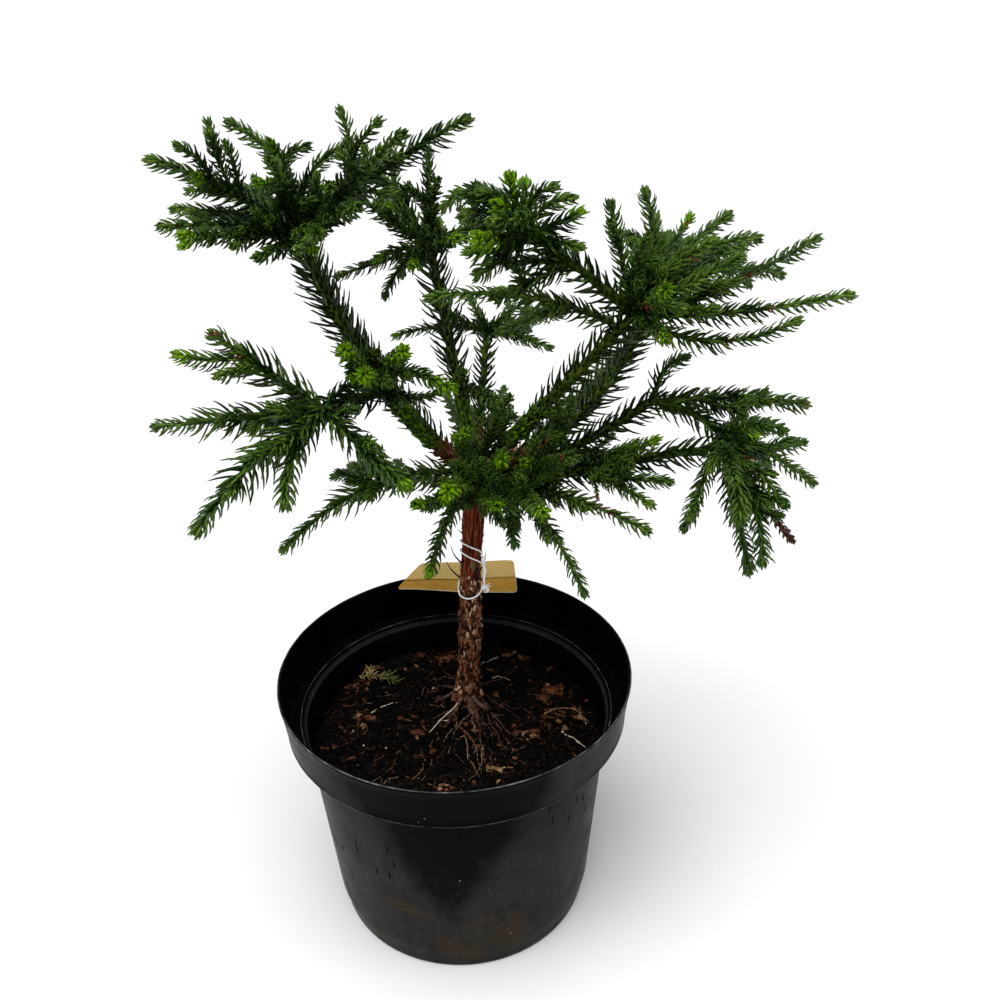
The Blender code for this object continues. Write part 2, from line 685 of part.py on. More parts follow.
# ================================================================ card
def card_mesh():
    """A blank card that lies across the rim, its front edge dipping inside."""
    z0 = POT_HEIGHT + 0.0004
    (ax, ay), (bx, by) = CARD_FRONT
    (cx, cy), (dx, dy) = CARD_BACK
    rings = []
    for k in range(7):
        f = k / 6
        front = Vector((ax + (bx - ax) * f, ay + (by - ay) * f, z0 - CARD_DIP))
        back = Vector((cx + (dx - cx) * f, cy + (dy - cy) * f, z0 + 0.0012))
        edge_x = front.x + (back.x - front.x) * 0.25
        lip = math.sqrt((RIM_RADIUS - LIP) ** 2 - edge_x ** 2) - 0.0015
        s = (lip - front.y) / (back.y - front.y)
        s = min(max(s, 0.1), 0.9)
        fold = Vector((front.x + (back.x - front.x) * s, lip, z0))
        up = Vector((0, 0, CARD_THICK))
        rings.append([front, fold, back, back + up, fold + up, front + up])
    return rings_to_mesh("card", rings)


card = node("label_card", card_mesh(), MAT_CARD)


# ================================================================ string
def loop_mesh(level, tilt, radius):
    c = trunk_centre((level - SOIL_CROWN) / TRUNK_LEAN.z)
    bm = bmesh.new()
    rows = []
    for k in range(14):
        a = 2 * math.pi * k / 14
        mid = c + Vector((radius * math.cos(a), radius * math.sin(a),
                          tilt * radius * math.cos(a - 1.0)))
        out = Vector((math.cos(a), math.sin(a), 0))
        rows.append([bm.verts.new(mid + (out * math.cos(b) + Vector((0, 0, 1)) * math.sin(b)) * STRING_R)
                     for b in (2 * math.pi * j / 5 for j in range(5))])
    for k in range(14):
        lo, hi = rows[k], rows[(k + 1) % 14]
        for j in range(5):
            bm.faces.new((lo[j], lo[(j + 1) % 5], hi[(j + 1) % 5], hi[j]))
    bmesh.ops.recalc_face_normals(bm, faces=bm.faces)
    me = bpy.data.meshes.new("loop")
    bm.to_mesh(me)
    bm.free()
    return me


def strand(a, b, arch):
    limb = Limb(a, b - a, arch)
    return tube("strand", limb, [(t, STRING_R) for t in (0, .2, .4, .6, .8, 1.0)], 5)


LOOP_R = 0.0094
string = node("string_tie", loop_mesh(TIE_HIGH, -0.35, LOOP_R), MAT_STRING)
c_low = trunk_centre((TIE_LOW - SOIL_CROWN) / TRUNK_LEAN.z)
c_high = trunk_centre((TIE_HIGH - SOIL_CROWN) / TRUNK_LEAN.z)
side = Vector((math.cos(-0.6), math.sin(-0.6), 0)) * LOOP_R
knot_from = Vector((c_low.x + LOOP_R * 0.97, c_low.y + 0.002, TIE_LOW + 0.0018))
boolean(string, [
    loop_mesh(TIE_LOW, 0.30, LOOP_R),
    strand(Vector((c_low.x, c_low.y, TIE_LOW - 0.0008)) + side,
           Vector((c_high.x, c_high.y, TIE_HIGH + 0.0006)) + side, 0.0),
    strand(knot_from, Vector((0.0234, 0.0985, POT_HEIGHT + 0.0030)), -4.0),
], "UNION")
tidy(string)
string.data.materials.clear()
string.data.materials.append(MAT_STRING)

# round pieces are shaded smooth
for ob in (pot, soil, trunk, string, *bough_nodes.values()):
    ob.data.shade_smooth()
    ob.data.set_sharp_from_angle(angle=math.radians(40))
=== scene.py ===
"""Potted dwarf japanese cedar: the looks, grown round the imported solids."""

import math
import random

import bpy
import numpy as np
from mathutils import Matrix, Vector, noise


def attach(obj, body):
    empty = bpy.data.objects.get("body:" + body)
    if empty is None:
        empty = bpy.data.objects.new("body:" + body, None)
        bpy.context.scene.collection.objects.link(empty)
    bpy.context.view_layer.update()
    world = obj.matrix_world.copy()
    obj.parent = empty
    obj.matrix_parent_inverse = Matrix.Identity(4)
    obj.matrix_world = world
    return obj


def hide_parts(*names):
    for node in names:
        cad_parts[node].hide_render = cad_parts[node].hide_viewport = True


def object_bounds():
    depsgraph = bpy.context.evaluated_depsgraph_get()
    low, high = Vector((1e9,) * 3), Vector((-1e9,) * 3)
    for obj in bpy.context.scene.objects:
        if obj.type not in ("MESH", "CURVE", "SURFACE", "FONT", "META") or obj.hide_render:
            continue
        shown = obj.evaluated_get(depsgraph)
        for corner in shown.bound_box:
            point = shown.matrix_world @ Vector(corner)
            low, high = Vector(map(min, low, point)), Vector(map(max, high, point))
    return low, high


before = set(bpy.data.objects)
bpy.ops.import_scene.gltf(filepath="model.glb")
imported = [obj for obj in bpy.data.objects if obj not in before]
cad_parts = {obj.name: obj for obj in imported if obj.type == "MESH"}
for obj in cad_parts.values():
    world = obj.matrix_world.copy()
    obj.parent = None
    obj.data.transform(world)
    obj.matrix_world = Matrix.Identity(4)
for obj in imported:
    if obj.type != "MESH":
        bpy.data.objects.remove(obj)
CAD_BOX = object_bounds()

MM = 0.001
COLL = bpy.context.scene.collection
rng = np.random.default_rng(1709)
random.seed(1709)
bpy.context.scene.view_settings.view_transform = "Standard"
bpy.context.scene.view_settings.look = "None"

# ------------------------------------------------------------------ camera
CAM_AT = np.array((0.0356, -0.63159, 0.68448))
CAM_PITCH = math.radians(28.693)
CAM_ROLL = math.radians(-1.354)
LENS = 39.0
back = np.array((0.0, -math.cos(CAM_PITCH), math.sin(CAM_PITCH)))
right = np.array((1.0, 0.0, 0.0))
above = np.array((0.0, math.sin(CAM_PITCH), math.cos(CAM_PITCH)))
cam_x = math.cos(CAM_ROLL) * right + math.sin(CAM_ROLL) * above
cam_y = -math.sin(CAM_ROLL) * right + math.cos(CAM_ROLL) * above
cam_data = bpy.data.cameras.new("camera")
cam_data.lens = LENS
cam_data.sensor_width = 36.0
cam_data.clip_start = 0.01
cam_data.clip_end = 200.0
camera = bpy.data.objects.new("camera", cam_data)
camera.matrix_world = Matrix((
    (cam_x[0], cam_y[0], back[0], CAM_AT[0]),
    (cam_x[1], cam_y[1], back[1], CAM_AT[1]),
    (cam_x[2], cam_y[2], back[2], CAM_AT[2]),
    (0, 0, 0, 1)))
COLL.objects.link(camera)
bpy.context.scene.camera = camera
FOCAL = LENS / 36.0 * 1000.0


def seen(points):
    """Where points fall in the view, in px of a 1000 px frame."""
    d = np.atleast_2d(points) - CAM_AT
    depth = -(d @ back)
    return np.stack([500 + FOCAL * (d @ cam_x) / depth, 500 - FOCAL * (d @ cam_y) / depth], 1), depth


# ------------------------------------------------------------------ materials
def new_mat(name):
    mat = bpy.data.materials.new(name)
    mat.use_nodes = True
    return mat, mat.node_tree, mat.node_tree.nodes["Principled BSDF"]


def ramp(tree, fac, stops, interpolation="LINEAR"):
    n = tree.nodes.new("ShaderNodeValToRGB")
    n.color_ramp.interpolation = interpolation
    els = n.color_ramp.elements
    while len(els) < len(stops):
        els.new(0.5)
    for el, (at, col) in zip(els, stops):
        el.position = at
        el.color = (*col, 1.0) if len(col) == 3 else col
    tree.links.new(fac, n.inputs["Fac"])
    return n.outputs["Color"]


def noise_node(tree, vector, scale, detail=2.0, rough=0.5, distort=0.0):
    n = tree.nodes.new("ShaderNodeTexNoise")
    n.inputs["Scale"].default_value = scale
    n.inputs["Detail"].default_value = detail
    n.inputs["Roughness"].default_value = rough
    n.inputs["Distortion"].default_value = distort
    tree.links.new(vector, n.inputs["Vector"])
    return n.outputs["Fac"]


def place_coords(tree, scale=(1, 1, 1)):
    tc = tree.nodes.new("ShaderNodeTexCoord")
    mp = tree.nodes.new("ShaderNodeMapping")
    mp.inputs["Scale"].default_value = scale
    tree.links.new(tc.outputs["Object"], mp.inputs["Vector"])
    return mp.outputs["Vector"]


def mix_rgb(tree, fac, a, b, blend="MIX"):
    n = tree.nodes.new("ShaderNodeMix")
    n.data_type = "RGBA"
    n.blend_type = blend
    for sock, val in ((n.inputs[0], fac), (n.inputs[6], a), (n.inputs[7], b)):
        if hasattr(val, "links"):
            tree.links.new(val, sock)
        elif isinstance(val, tuple):
            sock.default_value = (*val, 1.0)
        else:
            sock.default_value = val
    return n.outputs[2]


def bump(tree, height, strength, distance, bsdf):
    n = tree.nodes.new("ShaderNodeBump")
    n.inputs["Strength"].default_value = strength
    n.inputs["Distance"].default_value = distance
    tree.links.new(height, n.inputs["Height"])
    tree.links.new(n.outputs["Normal"], bsdf.inputs["Normal"])


def needle_mat(name, low, mid, high, rough=0.30, spec=0.12):
    """A needle green: patches the size of a spray, mottled again needle by needle."""
    mat, tree, bsdf = new_mat(name)
    wide = noise_node(tree, place_coords(tree), 38.0, 2.0)
    fine = noise_node(tree, place_coords(tree), 420.0, 2.0)
    patches = ramp(tree, wide, [(0.32, low), (0.5, mid), (0.70, high)])
    shade = ramp(tree, fine, [(0.30, (0.45, 0.47, 0.40)), (0.70, (1.45, 1.42, 1.45))])
    tree.links.new(mix_rgb(tree, 1.0, patches, shade, "MULTIPLY"), bsdf.inputs["Base Color"])
    bsdf.inputs["Roughness"].default_value = rough
    bsdf.inputs["IOR"].default_value = 1.22
    bsdf.inputs["Specular IOR Level"].default_value = spec * 5
    return mat


GREEN_DEEP = needle_mat("needle_deep", (0.0024, 0.0095, 0.0004), (0.0085, 0.0240, 0.0010), (0.024, 0.050, 0.003), spec=0.06)
GREEN_FRESH = needle_mat("needle_fresh", (0.018, 0.047, 0.004), (0.038, 0.080, 0.0060), (0.072, 0.128, 0.012), spec=0.11)
GREEN_LIME = needle_mat("needle_lime", (0.055, 0.124, 0.0016), (0.092, 0.192, 0.0032), (0.134, 0.256, 0.0075), spec=0.05)
STRAW = needle_mat("needle_straw", (0.09, 0.06, 0.010), (0.17, 0.12, 0.02), (0.27, 0.20, 0.04))
DEAD_BROWN = needle_mat("needle_dead", (0.046, 0.011, 0.005), (0.120, 0.034, 0.016), (0.27, 0.105, 0.055), 0.7, 0.08)
DEAD_DARK = needle_mat("needle_withered", (0.013, 0.006, 0.004), (0.038, 0.016, 0.010), (0.095, 0.046, 0.029), 0.7, 0.06)

# ------------------------------------------------------------------ meshes


def make_mesh(name, verts, quads, tris, smooth=True):
    me = bpy.data.meshes.new(name)
    quads = np.asarray(quads, dtype=np.int32).reshape(-1, 4)
    tris = np.asarray(tris, dtype=np.int32).reshape(-1, 3)
    nq, nt = len(quads), len(tris)
    me.vertices.add(len(verts))
    me.vertices.foreach_set("co", np.ascontiguousarray(verts, dtype=np.float32).ravel())
    me.loops.add(4 * nq + 3 * nt)
    me.loops.foreach_set("vertex_index", np.concatenate([quads.ravel(), tris.ravel()]).astype(np.int32))
    me.polygons.add(nq + nt)
    starts = np.concatenate([np.arange(nq) * 4, 4 * nq + np.arange(nt) * 3]).astype(np.int32)
    me.polygons.foreach_set("loop_start", starts)
    me.update(calc_edges=True)
    if smooth:
        me.shade_smooth()
    return me


class Sheaf:
    """Gathers many small things into one mesh."""

    def __init__(self):
        self.v, self.q, self.t, self.n = [], [], [], 0

    def add(self, verts, quads=(), tris=()):
        verts = np.asarray(verts, dtype=float).reshape(-1, 3)
        if len(quads):
            self.q.append(np.asarray(quads).reshape(-1, 4) + self.n)
        if len(tris):
            self.t.append(np.asarray(tris).reshape(-1, 3) + self.n)
        self.v.append(verts)
        self.n += len(verts)

    def count(self):
        return 2 * sum(len(q) for q in self.q) + sum(len(t) for t in self.t)

    def piece(self, name, mat, slot, nodes=(), smooth=True, angle=None):
        if not self.n:
            return None
        q = np.concatenate(self.q) if self.q else np.zeros((0, 4), int)
        t = np.concatenate(self.t) if self.t else np.zeros((0, 3), int)
        me = make_mesh(name, np.concatenate(self.v), q, t, smooth)
        if angle is not None:
            me.set_sharp_from_angle(angle=math.radians(angle))
        ob = bpy.data.objects.new(name, me)
        COLL.objects.link(ob)
        me.materials.append(mat)
        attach(ob, "root")
        if nodes:
            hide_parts(*nodes)
        return ob


def norm(v):
    return v / np.maximum(np.linalg.norm(v, axis=-1, keepdims=True), 1e-12)


def sweep(points, radii, sides=8, turn=0.0, flat=1.0, tip=True, relief=None):
    """A closed skin round a line of points; flat squashes the section."""
    p = np.asarray(points, float)
    n = len(p)
    r = np.broadcast_to(np.asarray(radii, float).reshape(n, -1), (n, 1))[:, 0] if np.ndim(radii) else np.full(n, radii)
    way = norm(np.gradient(p, axis=0))
    ref = np.array((0, 0, 1.0)) if abs(way[0, 2]) < 0.9 else np.array((1.0, 0, 0))
    x = norm(np.cross(way[0], ref))
    rows = []
    a = turn + 2 * math.pi * np.arange(sides) / sides
    for k in range(n):
        x = norm(x - way[k] * np.dot(x, way[k]))
        y = np.cross(way[k], x)
        rr = r[k] * (1.0 if relief is None else relief[k])
        rows.append(p[k] + np.outer(np.cos(a) * rr, x) + np.outer(np.sin(a) * rr * flat, y))
    v = np.concatenate(rows + [p[:1] - way[:1] * r[0] * 0.3, p[-1:] + way[-1:] * r[-1] * (0.6 if tip else 0.0)])
    k = np.arange(sides)
    k2 = (k + 1) % sides
    quads = np.concatenate([np.stack([i * sides + k, i * sides + k2, (i + 1) * sides + k2, (i + 1) * sides + k], 1)
                            for i in range(n - 1)])
    first, last = n * sides, n * sides + 1
    tris = np.concatenate([np.stack([k2, k, np.full(sides, first)], 1),
                           np.stack([(n - 1) * sides + k, (n - 1) * sides + k2, np.full(sides, last)], 1)])
    return v, quads, tris


def unit(heading, rise):
    h, r = math.radians(heading), math.radians(rise)
    return np.array((math.cos(h) * math.cos(r), math.sin(h) * math.cos(r), math.sin(r)))


class Limb:
    """A limb's centre line: a chord with an arch and a sideways swing."""

    def __init__(self, base, chord, arch=0.0, swing=0.0):
        self.base, self.chord = np.array(base, float), np.array(chord, float)
        self.long = float(np.linalg.norm(self.chord))
        d = self.chord / self.long
        side = norm(np.array((-d[1], d[0], 0.0)))
        up = np.cross(d, side)
        if up[2] < 0:
            up = -up
        self.bow = (up * arch + side * swing) * (self.long / 100.0)

    def at(self, t):
        t = np.asarray(t, float)[..., None]
        return self.base + self.chord * t + self.bow * (4 * t * (1 - t))

    def way(self, t):
        t = np.asarray(t, float)[..., None]
        return norm(self.chord + self.bow * (4 - 8 * t))


def frames(limb, t):
    d = limb.way(t)
    ref = np.array((0, 0, 1.0)) if abs(d[0, 2]) < 0.9 else np.array((1.0, 0, 0))
    x = norm(np.cross(d, ref))
    return d, x, np.cross(d, x)


# ------------------------------------------------------------------ sizes shared with the solids
POT_HEIGHT = 0.2014
RIM_RADIUS = 0.1275
COLLAR_HEIGHT = 0.0334
COLLAR_LOW_RADIUS = 0.1234
BODY_TOP_RADIUS = 0.1113
FOOT_TOP_RADIUS = 0.0985
FOOT_HEIGHT = 0.018
BASE_RADIUS = 0.0952
WALL = 0.0015
LIP = 0.0021
FLOOR = 0.0022

SOIL_EDGE = 0.1420
SOIL_CROWN = 0.1500
SOIL_FLAT = 0.062

TRUNK_FOOT = np.array((0.006, 0.032, SOIL_CROWN))
TRUNK_LEAN = np.array((0.014, -0.002, 0.195))
TRUNK_TOP_EXTRA = 0.006
# how far up the trunk, radius in mm; how far up the trunk, sway to +X in mm
TRUNK_GIRTH = [(0.0, 11.0), (0.05, 9.3), (0.10, 8.3), (0.17, 7.7), (0.33, 9.3),
               (0.44, 8.0), (0.53, 7.5), (0.62, 7.0), (0.70, 7.1), (0.78, 7.9), (1.0, 7.8)]
TRUNK_BEND = [(0.0, 0.0), (0.17, 0.9), (0.33, 0.8), (0.44, 0.1), (0.55, -0.7), (1.0, -1.1)]
FLARE = 0.0050
ROOTS = [(-62, 76, 4.2), (-78, 92, 3.4), (-85, 62, 3.8), (-50, 40, 3.6),
         (-118, 54, 3.6), (-160, 26, 3.4), (150, 26, 3.2), (60, 30, 3.4)]

# name: (carried by, at, end x, y, z in mm, arch %, radius at base, at tip)
BOUGHS = {
    "left":           ("trunk", 0.97, (-81, 20, 512), -7, 5.0, 3.0),
    "centre":         ("trunk", 1.00, (-6, 70, 489), 0, 4.5, 2.8),
    "right":          ("trunk", 0.99, (118, -10, 468), 0, 5.0, 3.0),
    "right_second":   ("trunk", 0.95, (129, 35, 443), -10, 4.4, 2.6),
    "back":           ("trunk", 0.98, (29, 95, 422), 0, 3.2, 2.0),
    "right_low":      ("trunk", 0.93, (135, 10, 403), -3, 4.2, 2.8),
    "right_elbow":    ("right_low", 1.00, (177, -10, 388), 10, 2.6, 2.2),
    "right_mid":      ("trunk", 0.90, (170, -18, 382), 2, 4.0, 2.4),
    "left_low":       ("left", 0.43, (-72, -20, 416), 4, 3.2, 2.4),
    "upper_mid":      ("right", 1.00, (54, -45, 529), 2, 2.8, 2.0),
    "rear_left":      ("trunk", 0.96, (-105, 105, 505), -6, 4.5, 2.6),
    "rear_right":     ("trunk", 0.94, (165, 95, 462), -6, 4.5, 2.6),
    "rear_low_right": ("trunk", 0.86, (82, 90, 314), 8, 3.6, 2.2),
    "rear_low_left":  ("trunk", 0.90, (-42, 85, 312), 8, 3.6, 2.2),
}

# foliage: mass: (hub bough, needled boughs, shoots)
# shoot: (name, springs from, at, heading, rise, length mm, arch %, swing %, half width mm)
MASSES = {
    "base_whorl": ("trunk", [], [
        ("b1", "hub", 0, -112, 16, 98, -5, 0, 8),
        ("b2", "hub", 0, -98, 23, 112, 0, 0, 10),
        ("b3", "hub", 0, -111, -19, 90, 3, -4, 9),
        ("b4", "hub", 0, -82, 17, 103, -3, 0, 10),
        ("b5", "hub", 0, -151, -6, 142, 15, 0, 9),
        ("b6", "hub", 0, -95, 47, 80, 0, -5, 8),
        ("b7", "hub", 0, -76, 33, 88, 0, 3, 8),
        ("b8", "hub", 0, -49, 63, 78, 3, 0, 7),
        ("b9", "hub", 0, 0, 64, 55, -5, -9, 6),
        ("b10", "trunk", .90, -58, -8, 34, 6, 0, 9),
        ("b11", "trunk", .90, -128, 6, 26, 4, 0, 8),
    ]),
    "left_leader": ("left", ["left"], [
        ("ll1", "left", .50, -102, 36, 67, 0, 0, 10),
        ("ll2", "left", .48, -91, 26, 75, 0, 0, 10),
        ("ll3", "left", .51, -67, 31, 73, 0, 0, 10),
        ("ll4", "left", .50, -41, 8, 66, 11, 0, 9),
        ("ll6", "left", .46, -21, 2, 40, -13, -4, 8),
    ]),
    "centre_leader": ("centre", ["centre"], [
        ("cc1", "centre", .38, -64, 12, 62, 5, 0, 9),
    ]),
    "right_leader": ("right", ["right"], []),
    "right_second": ("right_second", ["right_second"], []),
    "right_inner": ("trunk", ["right_low", "right_mid"], [
        ("ri1", "right_low", .55, -36, 20, 66, -10, -8, 9),
        ("ri2", "right_mid", .46, -34, 9, 68, 4, -10, 9),
        ("ri3", "right_mid", .48, -54, 2, 66, 6, -4, 8),
        ("ri4", "right_mid", .15, -40, 3, 113, 10, -6, 9),
        ("ri5", "right_mid", .52, -89, -2, 40, 7, 0, 3.4),
        ("ri6", "right_mid", .15, -60, -20, 100, 12, 0, 8),
        ("ri7", "right_mid", .12, -84, 0, 74, 8, 0, 9),
        ("ri8", "right_mid", .14, -78, 20, 110, 3, 0, 10),
        ("ri9", "right_low", .34, -57, 58, 73, -7, 0, 8),
        ("ri10", "right_low", .20, -60, 32, 86, 0, -5, 9),
    ]),
    "left_lower": ("left_low", ["left_low"], [
        ("lm1", "hub", 0, 180, 40, 79, 0, 0, 10),
        ("lm2", "lm1", .70, -165, 9, 40, -6, 0, 8),
        ("lm3", "lm1", .60, -135, 3, 28, -3, -2, 7),
        ("lm4", "hub", 0, 175, -7, 109, 0, 0, 9),
        ("lm5", "hub", 0, -152, -35, 107, 7, 0, 11),
        ("lm6", "hub", 0, -111, -36, 67, 4, -9, 11),
        ("lm7", "hub", 0, -38, -27, 74, 0, 0, 11.5),
        ("lm8", "hub", 0, -121, -4, 70, -5, 0, 9),
        ("lm9", "hub", 0, 30, 21, 43, 8, 3, 8),
        ("lm10", "hub", 0, 118, -25, 75, 5, 0, 9),
        ("lm11", "hub", 0, 150, -20, 70, 5, 0, 9),
    ]),
    "upper_left": ("left", [], [
        ("ul1", "hub", 0, -165, 33, 95, 5, 0, 10),
        ("ul2", "ul1", .48, 123, 53, 46, -2, 3, 8),
        ("ul3", "ul1", .62, -121, 49, 33, 7, 7, 8),
        ("ul4", "ul1", .43, -98, 69, 35, 2, 2, 8),
        ("ul5", "hub", 0, -154, 12, 82, 4, 0, 10),
        ("ul6", "hub", 0, 176, 13, 77, 5, 0, 10),
        ("ul7", "hub", 0, -132, 13, 83, 0, -5, 10),
        ("ul7b", "ul1", .48, 163, 1, 30, 3, -2, 8),
        ("ul8", "hub", 0, 148, 53, 79, 15, -7, 10),
        ("ul9", "ul8", .48, -105, 55, 23, 3, 3, 8),
        ("ul10", "ul8", .53, 19, 26, 20, 12, 0, 8),
        ("ul11", "hub", 0, -117, 50, 52, 18, -2, 9),
        ("ul12", "hub", 0, 45, 48, 65, 16, 10, 9),
        ("ul13", "hub", 0, 37, 63, 77, -17, -14, 9),
        ("ul14", "ul13", .70, -16, 49, 29, 3, -6, 8),
        ("ul15", "hub", 0, -43, 36, 119, 2, 0, 10),
        ("ul16", "hub", 0, 6, 32, 122, 3, 2, 10),
        ("ul17", "hub", 0, -56, 23, 85, 2, 0, 10),
        ("ul18", "hub", 0, -73, 16, 76, 2, 0, 10),
        ("ul19", "hub", 0, -115, 0, 45, 0, 3, 9),
        ("ul20", "hub", 0, -18, 43, 44, 14, 0, 9),
        ("ul21", "hub", 0, -97, 53, 67, 5, 0, 9),
        ("ul22", "hub", 0, 105, -12, 85, 8, 0, 10),
        ("ul23", "hub", 0, 75, 12, 75, 8, 0, 10),
    ]),
    "top_centre": ("centre", [], [
        ("c1", "hub", 0, 89, 71, 63, 0, 0, 9),
        ("c2", "c1", .36, -151, 18, 38, 30, 6, 9),
        ("c2b", "c1", .43, -70, 45, 29, 0, 0, 8),
        ("c3", "hub", 0, 167, 34, 56, 2, 0, 10),
        ("c4", "hub", 0, -143, 1, 42, 9, 0, 9),
        ("c5", "hub", 0, -100, 5, 51, 0, 0, 9),
        ("c6", "hub", 0, -69, 21, 58, 4, 0, 9),
        ("c7", "hub", 0, -166, -11, 63, 2, 0, 8),
        ("c8", "hub", 0, -154, -38, 43, 12, -5, 8),
        ("c10", "hub", 0, 18, 20, 51, 3, 0, 9),
        ("c11", "hub", 0, 127, 52, 61, -8, 9, 8),
        ("c12", "hub", 0, 93, 12, 75, 5, 0, 10),
        ("c13", "hub", 0, 57, -3, 80, 5, 0, 10),
        ("c14", "hub", 0, 122, 28, 85, 5, 0, 10),
    ]),
    "right_upper": ("right", [], [
        ("r1", "hub", 0, 124, 69, 67, 0, 0, 10),
        ("r2", "hub", 0, 65, 80, 72, 0, -12, 10),
        ("r3", "hub", 0, 46, 42, 73, 2, 0, 8),
        ("r4", "hub", 0, 33, 34, 88, 6, 0, 10),
        ("r5", "hub", 0, 15, 27, 88, 14, 0, 10),
        ("r6", "hub", 0, -10, 32, 71, 0, 0, 10),
        ("r7", "hub", 0, 19, 15, 128, -4, 0, 10),
        ("r8", "hub", 0, 4, 3, 133, -3, 0, 9),
        ("r9", "hub", 0, -6, -1, 97, -15, 0, 9),
        ("r10", "hub", 0, -78, 32, 60, 0, 0, 9),
        ("r11", "hub", 0, -72, -1, 42, 5, 6, 10),
        ("r12", "hub", 0, -83, 65, 60, 2, -8, 9),
        ("r13", "hub", 0, -6, 46, 64, 7, 4, 10),
        ("r14", "hub", 0, 55, 21, 79, 11, 9, 9),
    ]),
    "upper_mid": ("upper_mid", ["upper_mid"], [
        ("m1", "hub", 0, -131, 67, 35, -3, -4, 9),
        ("m2", "hub", 0, -124, 36, 37, 5, 2, 9),
        ("m3", "hub", 0, 32, 50, 29, 22, 9, 8),
        ("m4", "hub", 0, 0, 36, 30, 17, 0, 8),
        ("m5", "hub", 0, 26, 12, 34, -5, 0, 9),
        ("m6", "hub", 0, 0, -16, 30, -6, 10, 8),
        ("m7", "hub", 0, -96, 25, 46, 0, 0, 9),
        ("m8", "hub", 0, -130, 8, 41, -3, 0, 10),
        ("m9", "hub", 0, -155, -8, 36, -13, 0, 10),
        ("m10", "hub", 0, -160, -34, 36, -5, 0, 9),
        ("m11", "hub", 0, 145, 4, 44, 14, -4, 9),
        ("m12", "hub", 0, 137, 3, 65, 25, 0, 8),
        ("m13", "upper_mid", .67, -153, 6, 37, -3, -5, 9),
        ("m14", "upper_mid", .61, -165, -18, 38, 0, -4, 9),
        ("m15", "hub", 0, 92, 41, 33, 2, 0, 9),
    ]),
    "middle_long": ("right", [], [
        ("h1", "right", .93, -166, 15, 121, 8, 0, 9),
        ("h2", "h1", .33, 170, -25, 43, 0, 3, 8),
    ]),
    "centre_fan": ("back", ["back"], [
        ("f1", "hub", 0, -13, -11, 46, 4, 0, 8),
        ("f2", "hub", 0, -6, 14, 53, 6, 0, 8),
        ("f3", "hub", 0, -171, 2, 65, 8, 0, 7),
        ("f4", "hub", 0, 172, 30, 40, -4, 0, 8),
        ("f5", "hub", 0, 10, 35, 37, 4, 0, 8),
        ("f6", "hub", 0, 123, 46, 27, 0, 2, 8),
        ("f7", "hub", 0, 90, -20, 60, 5, 0, 9),
        ("f8", "hub", 0, 55, -15, 55, 5, 0, 9),
    ]),
    "right_lower": ("right_elbow", ["right_elbow"], [
        ("rl1", "right_elbow", .05, 27, 50, 35, 20, 8, 9),
        ("rl2", "right_elbow", .05, 11, -7, 106, 3, 0, 10),
        ("rl3", "hub", 0, 23, -9, 51, 12, 0, 9),
        ("rl3b", "hub", 0, -55, 27, 41, 8, 0, 9),
        ("rl4", "hub", 0, 26, -17, 73, -10, 0, 9),
        ("rl5", "hub", 0, 9, -32, 79, 4, 0, 8),
        ("rl6", "hub", 0, -27, -42, 61, 3, 0, 9),
        ("rl7", "hub", 0, 0, -56, 97, -2, 0, 9),
        ("rl8", "hub", 0, -34, -67, 92, 6, 4, 10.5),
        ("rl9", "hub", 0, -21, -75, 101, 0, 0, 10),
        ("rl10", "hub", 0, -92, -4, 55, 0, 0, 9),
        ("rl11", "hub", 0, -80, -46, 58, 0, 6, 12),
        ("rl12", "hub", 0, -140, -62, 65, 0, 0, 9),
        ("rl14", "rl2", .28, -22, 15, 43, -12, -15, 8),
        ("rl15", "hub", 0, 67, -27, 80, 5, 0, 10),
        ("rl16", "hub", 0, 50, -35, 90, 5, 0, 9),
    ]),
    "rear_left": ("rear_left", ["rear_left"], [
        ("ql1", "hub", 0, 172, 18, 58, 5, 0, 10),
        ("ql2", "hub", 0, 125, 5, 70, 5, 0, 10),
        ("ql3", "hub", 0, 82, 8, 66, 5, 0, 10),
        ("ql4", "hub", 0, 105, 48, 52, 5, 0, 10),
        ("ql5", "hub", 0, 148, -18, 55, 8, 0, 10),
    ]),
    "rear_right": ("rear_right", ["rear_right"], [
        ("qr1", "hub", 0, 8, -5, 72, 5, 0, 10),
        ("qr2", "hub", 0, 48, 0, 78, 5, 0, 10),
        ("qr3", "hub", 0, 90, 5, 75, 5, 0, 10),
        ("qr4", "hub", 0, 68, -28, 62, 8, 0, 10),
        ("qr5", "hub", 0, 122, 10, 70, 5, 0, 10),
    ]),
    "rear_middle": ("trunk", [], [
        ("qm1", "trunk", .97, 92, 4, 104, 6, 0, 10),
        ("qm2", "trunk", .97, 76, 20, 92, 6, 0, 10),
        ("qm3", "trunk", .97, 106, 22, 82, 6, 0, 10),
    ]),
    "rear_low_right": ("rear_low_right", ["rear_low_right"], [
        ("qx1", "hub", 0, 20, -8, 58, 8, 0, 9),
        ("qx2", "hub", 0, 60, -12, 65, 8, 0, 9),
        ("qx3", "hub", 0, 100, -8, 60, 8, 0, 9),
        ("qx4", "hub", 0, -10, 0, 50, 6, 0, 9),
    ]),
    "rear_low_left": ("rear_low_left", ["rear_low_left"], [
        ("qy1", "hub", 0, 172, 0, 48, 8, 0, 9),
        ("qy2", "hub", 0, 132, -10, 60, 8, 0, 9),
        ("qy3", "hub", 0, 90, -5, 34, 8, 0, 9),
    ]),
}
LIME_TIPS = set("""ul9 ul11 ul7 c4 c5 c6 m1 m2 m5 m8 m15 r3 r10 r11 ri1 ri8 b1 b2 b3 b4 b6 b7
                   lm7 lm2 ll1 ll2 ll3 ll4 f3""".split())
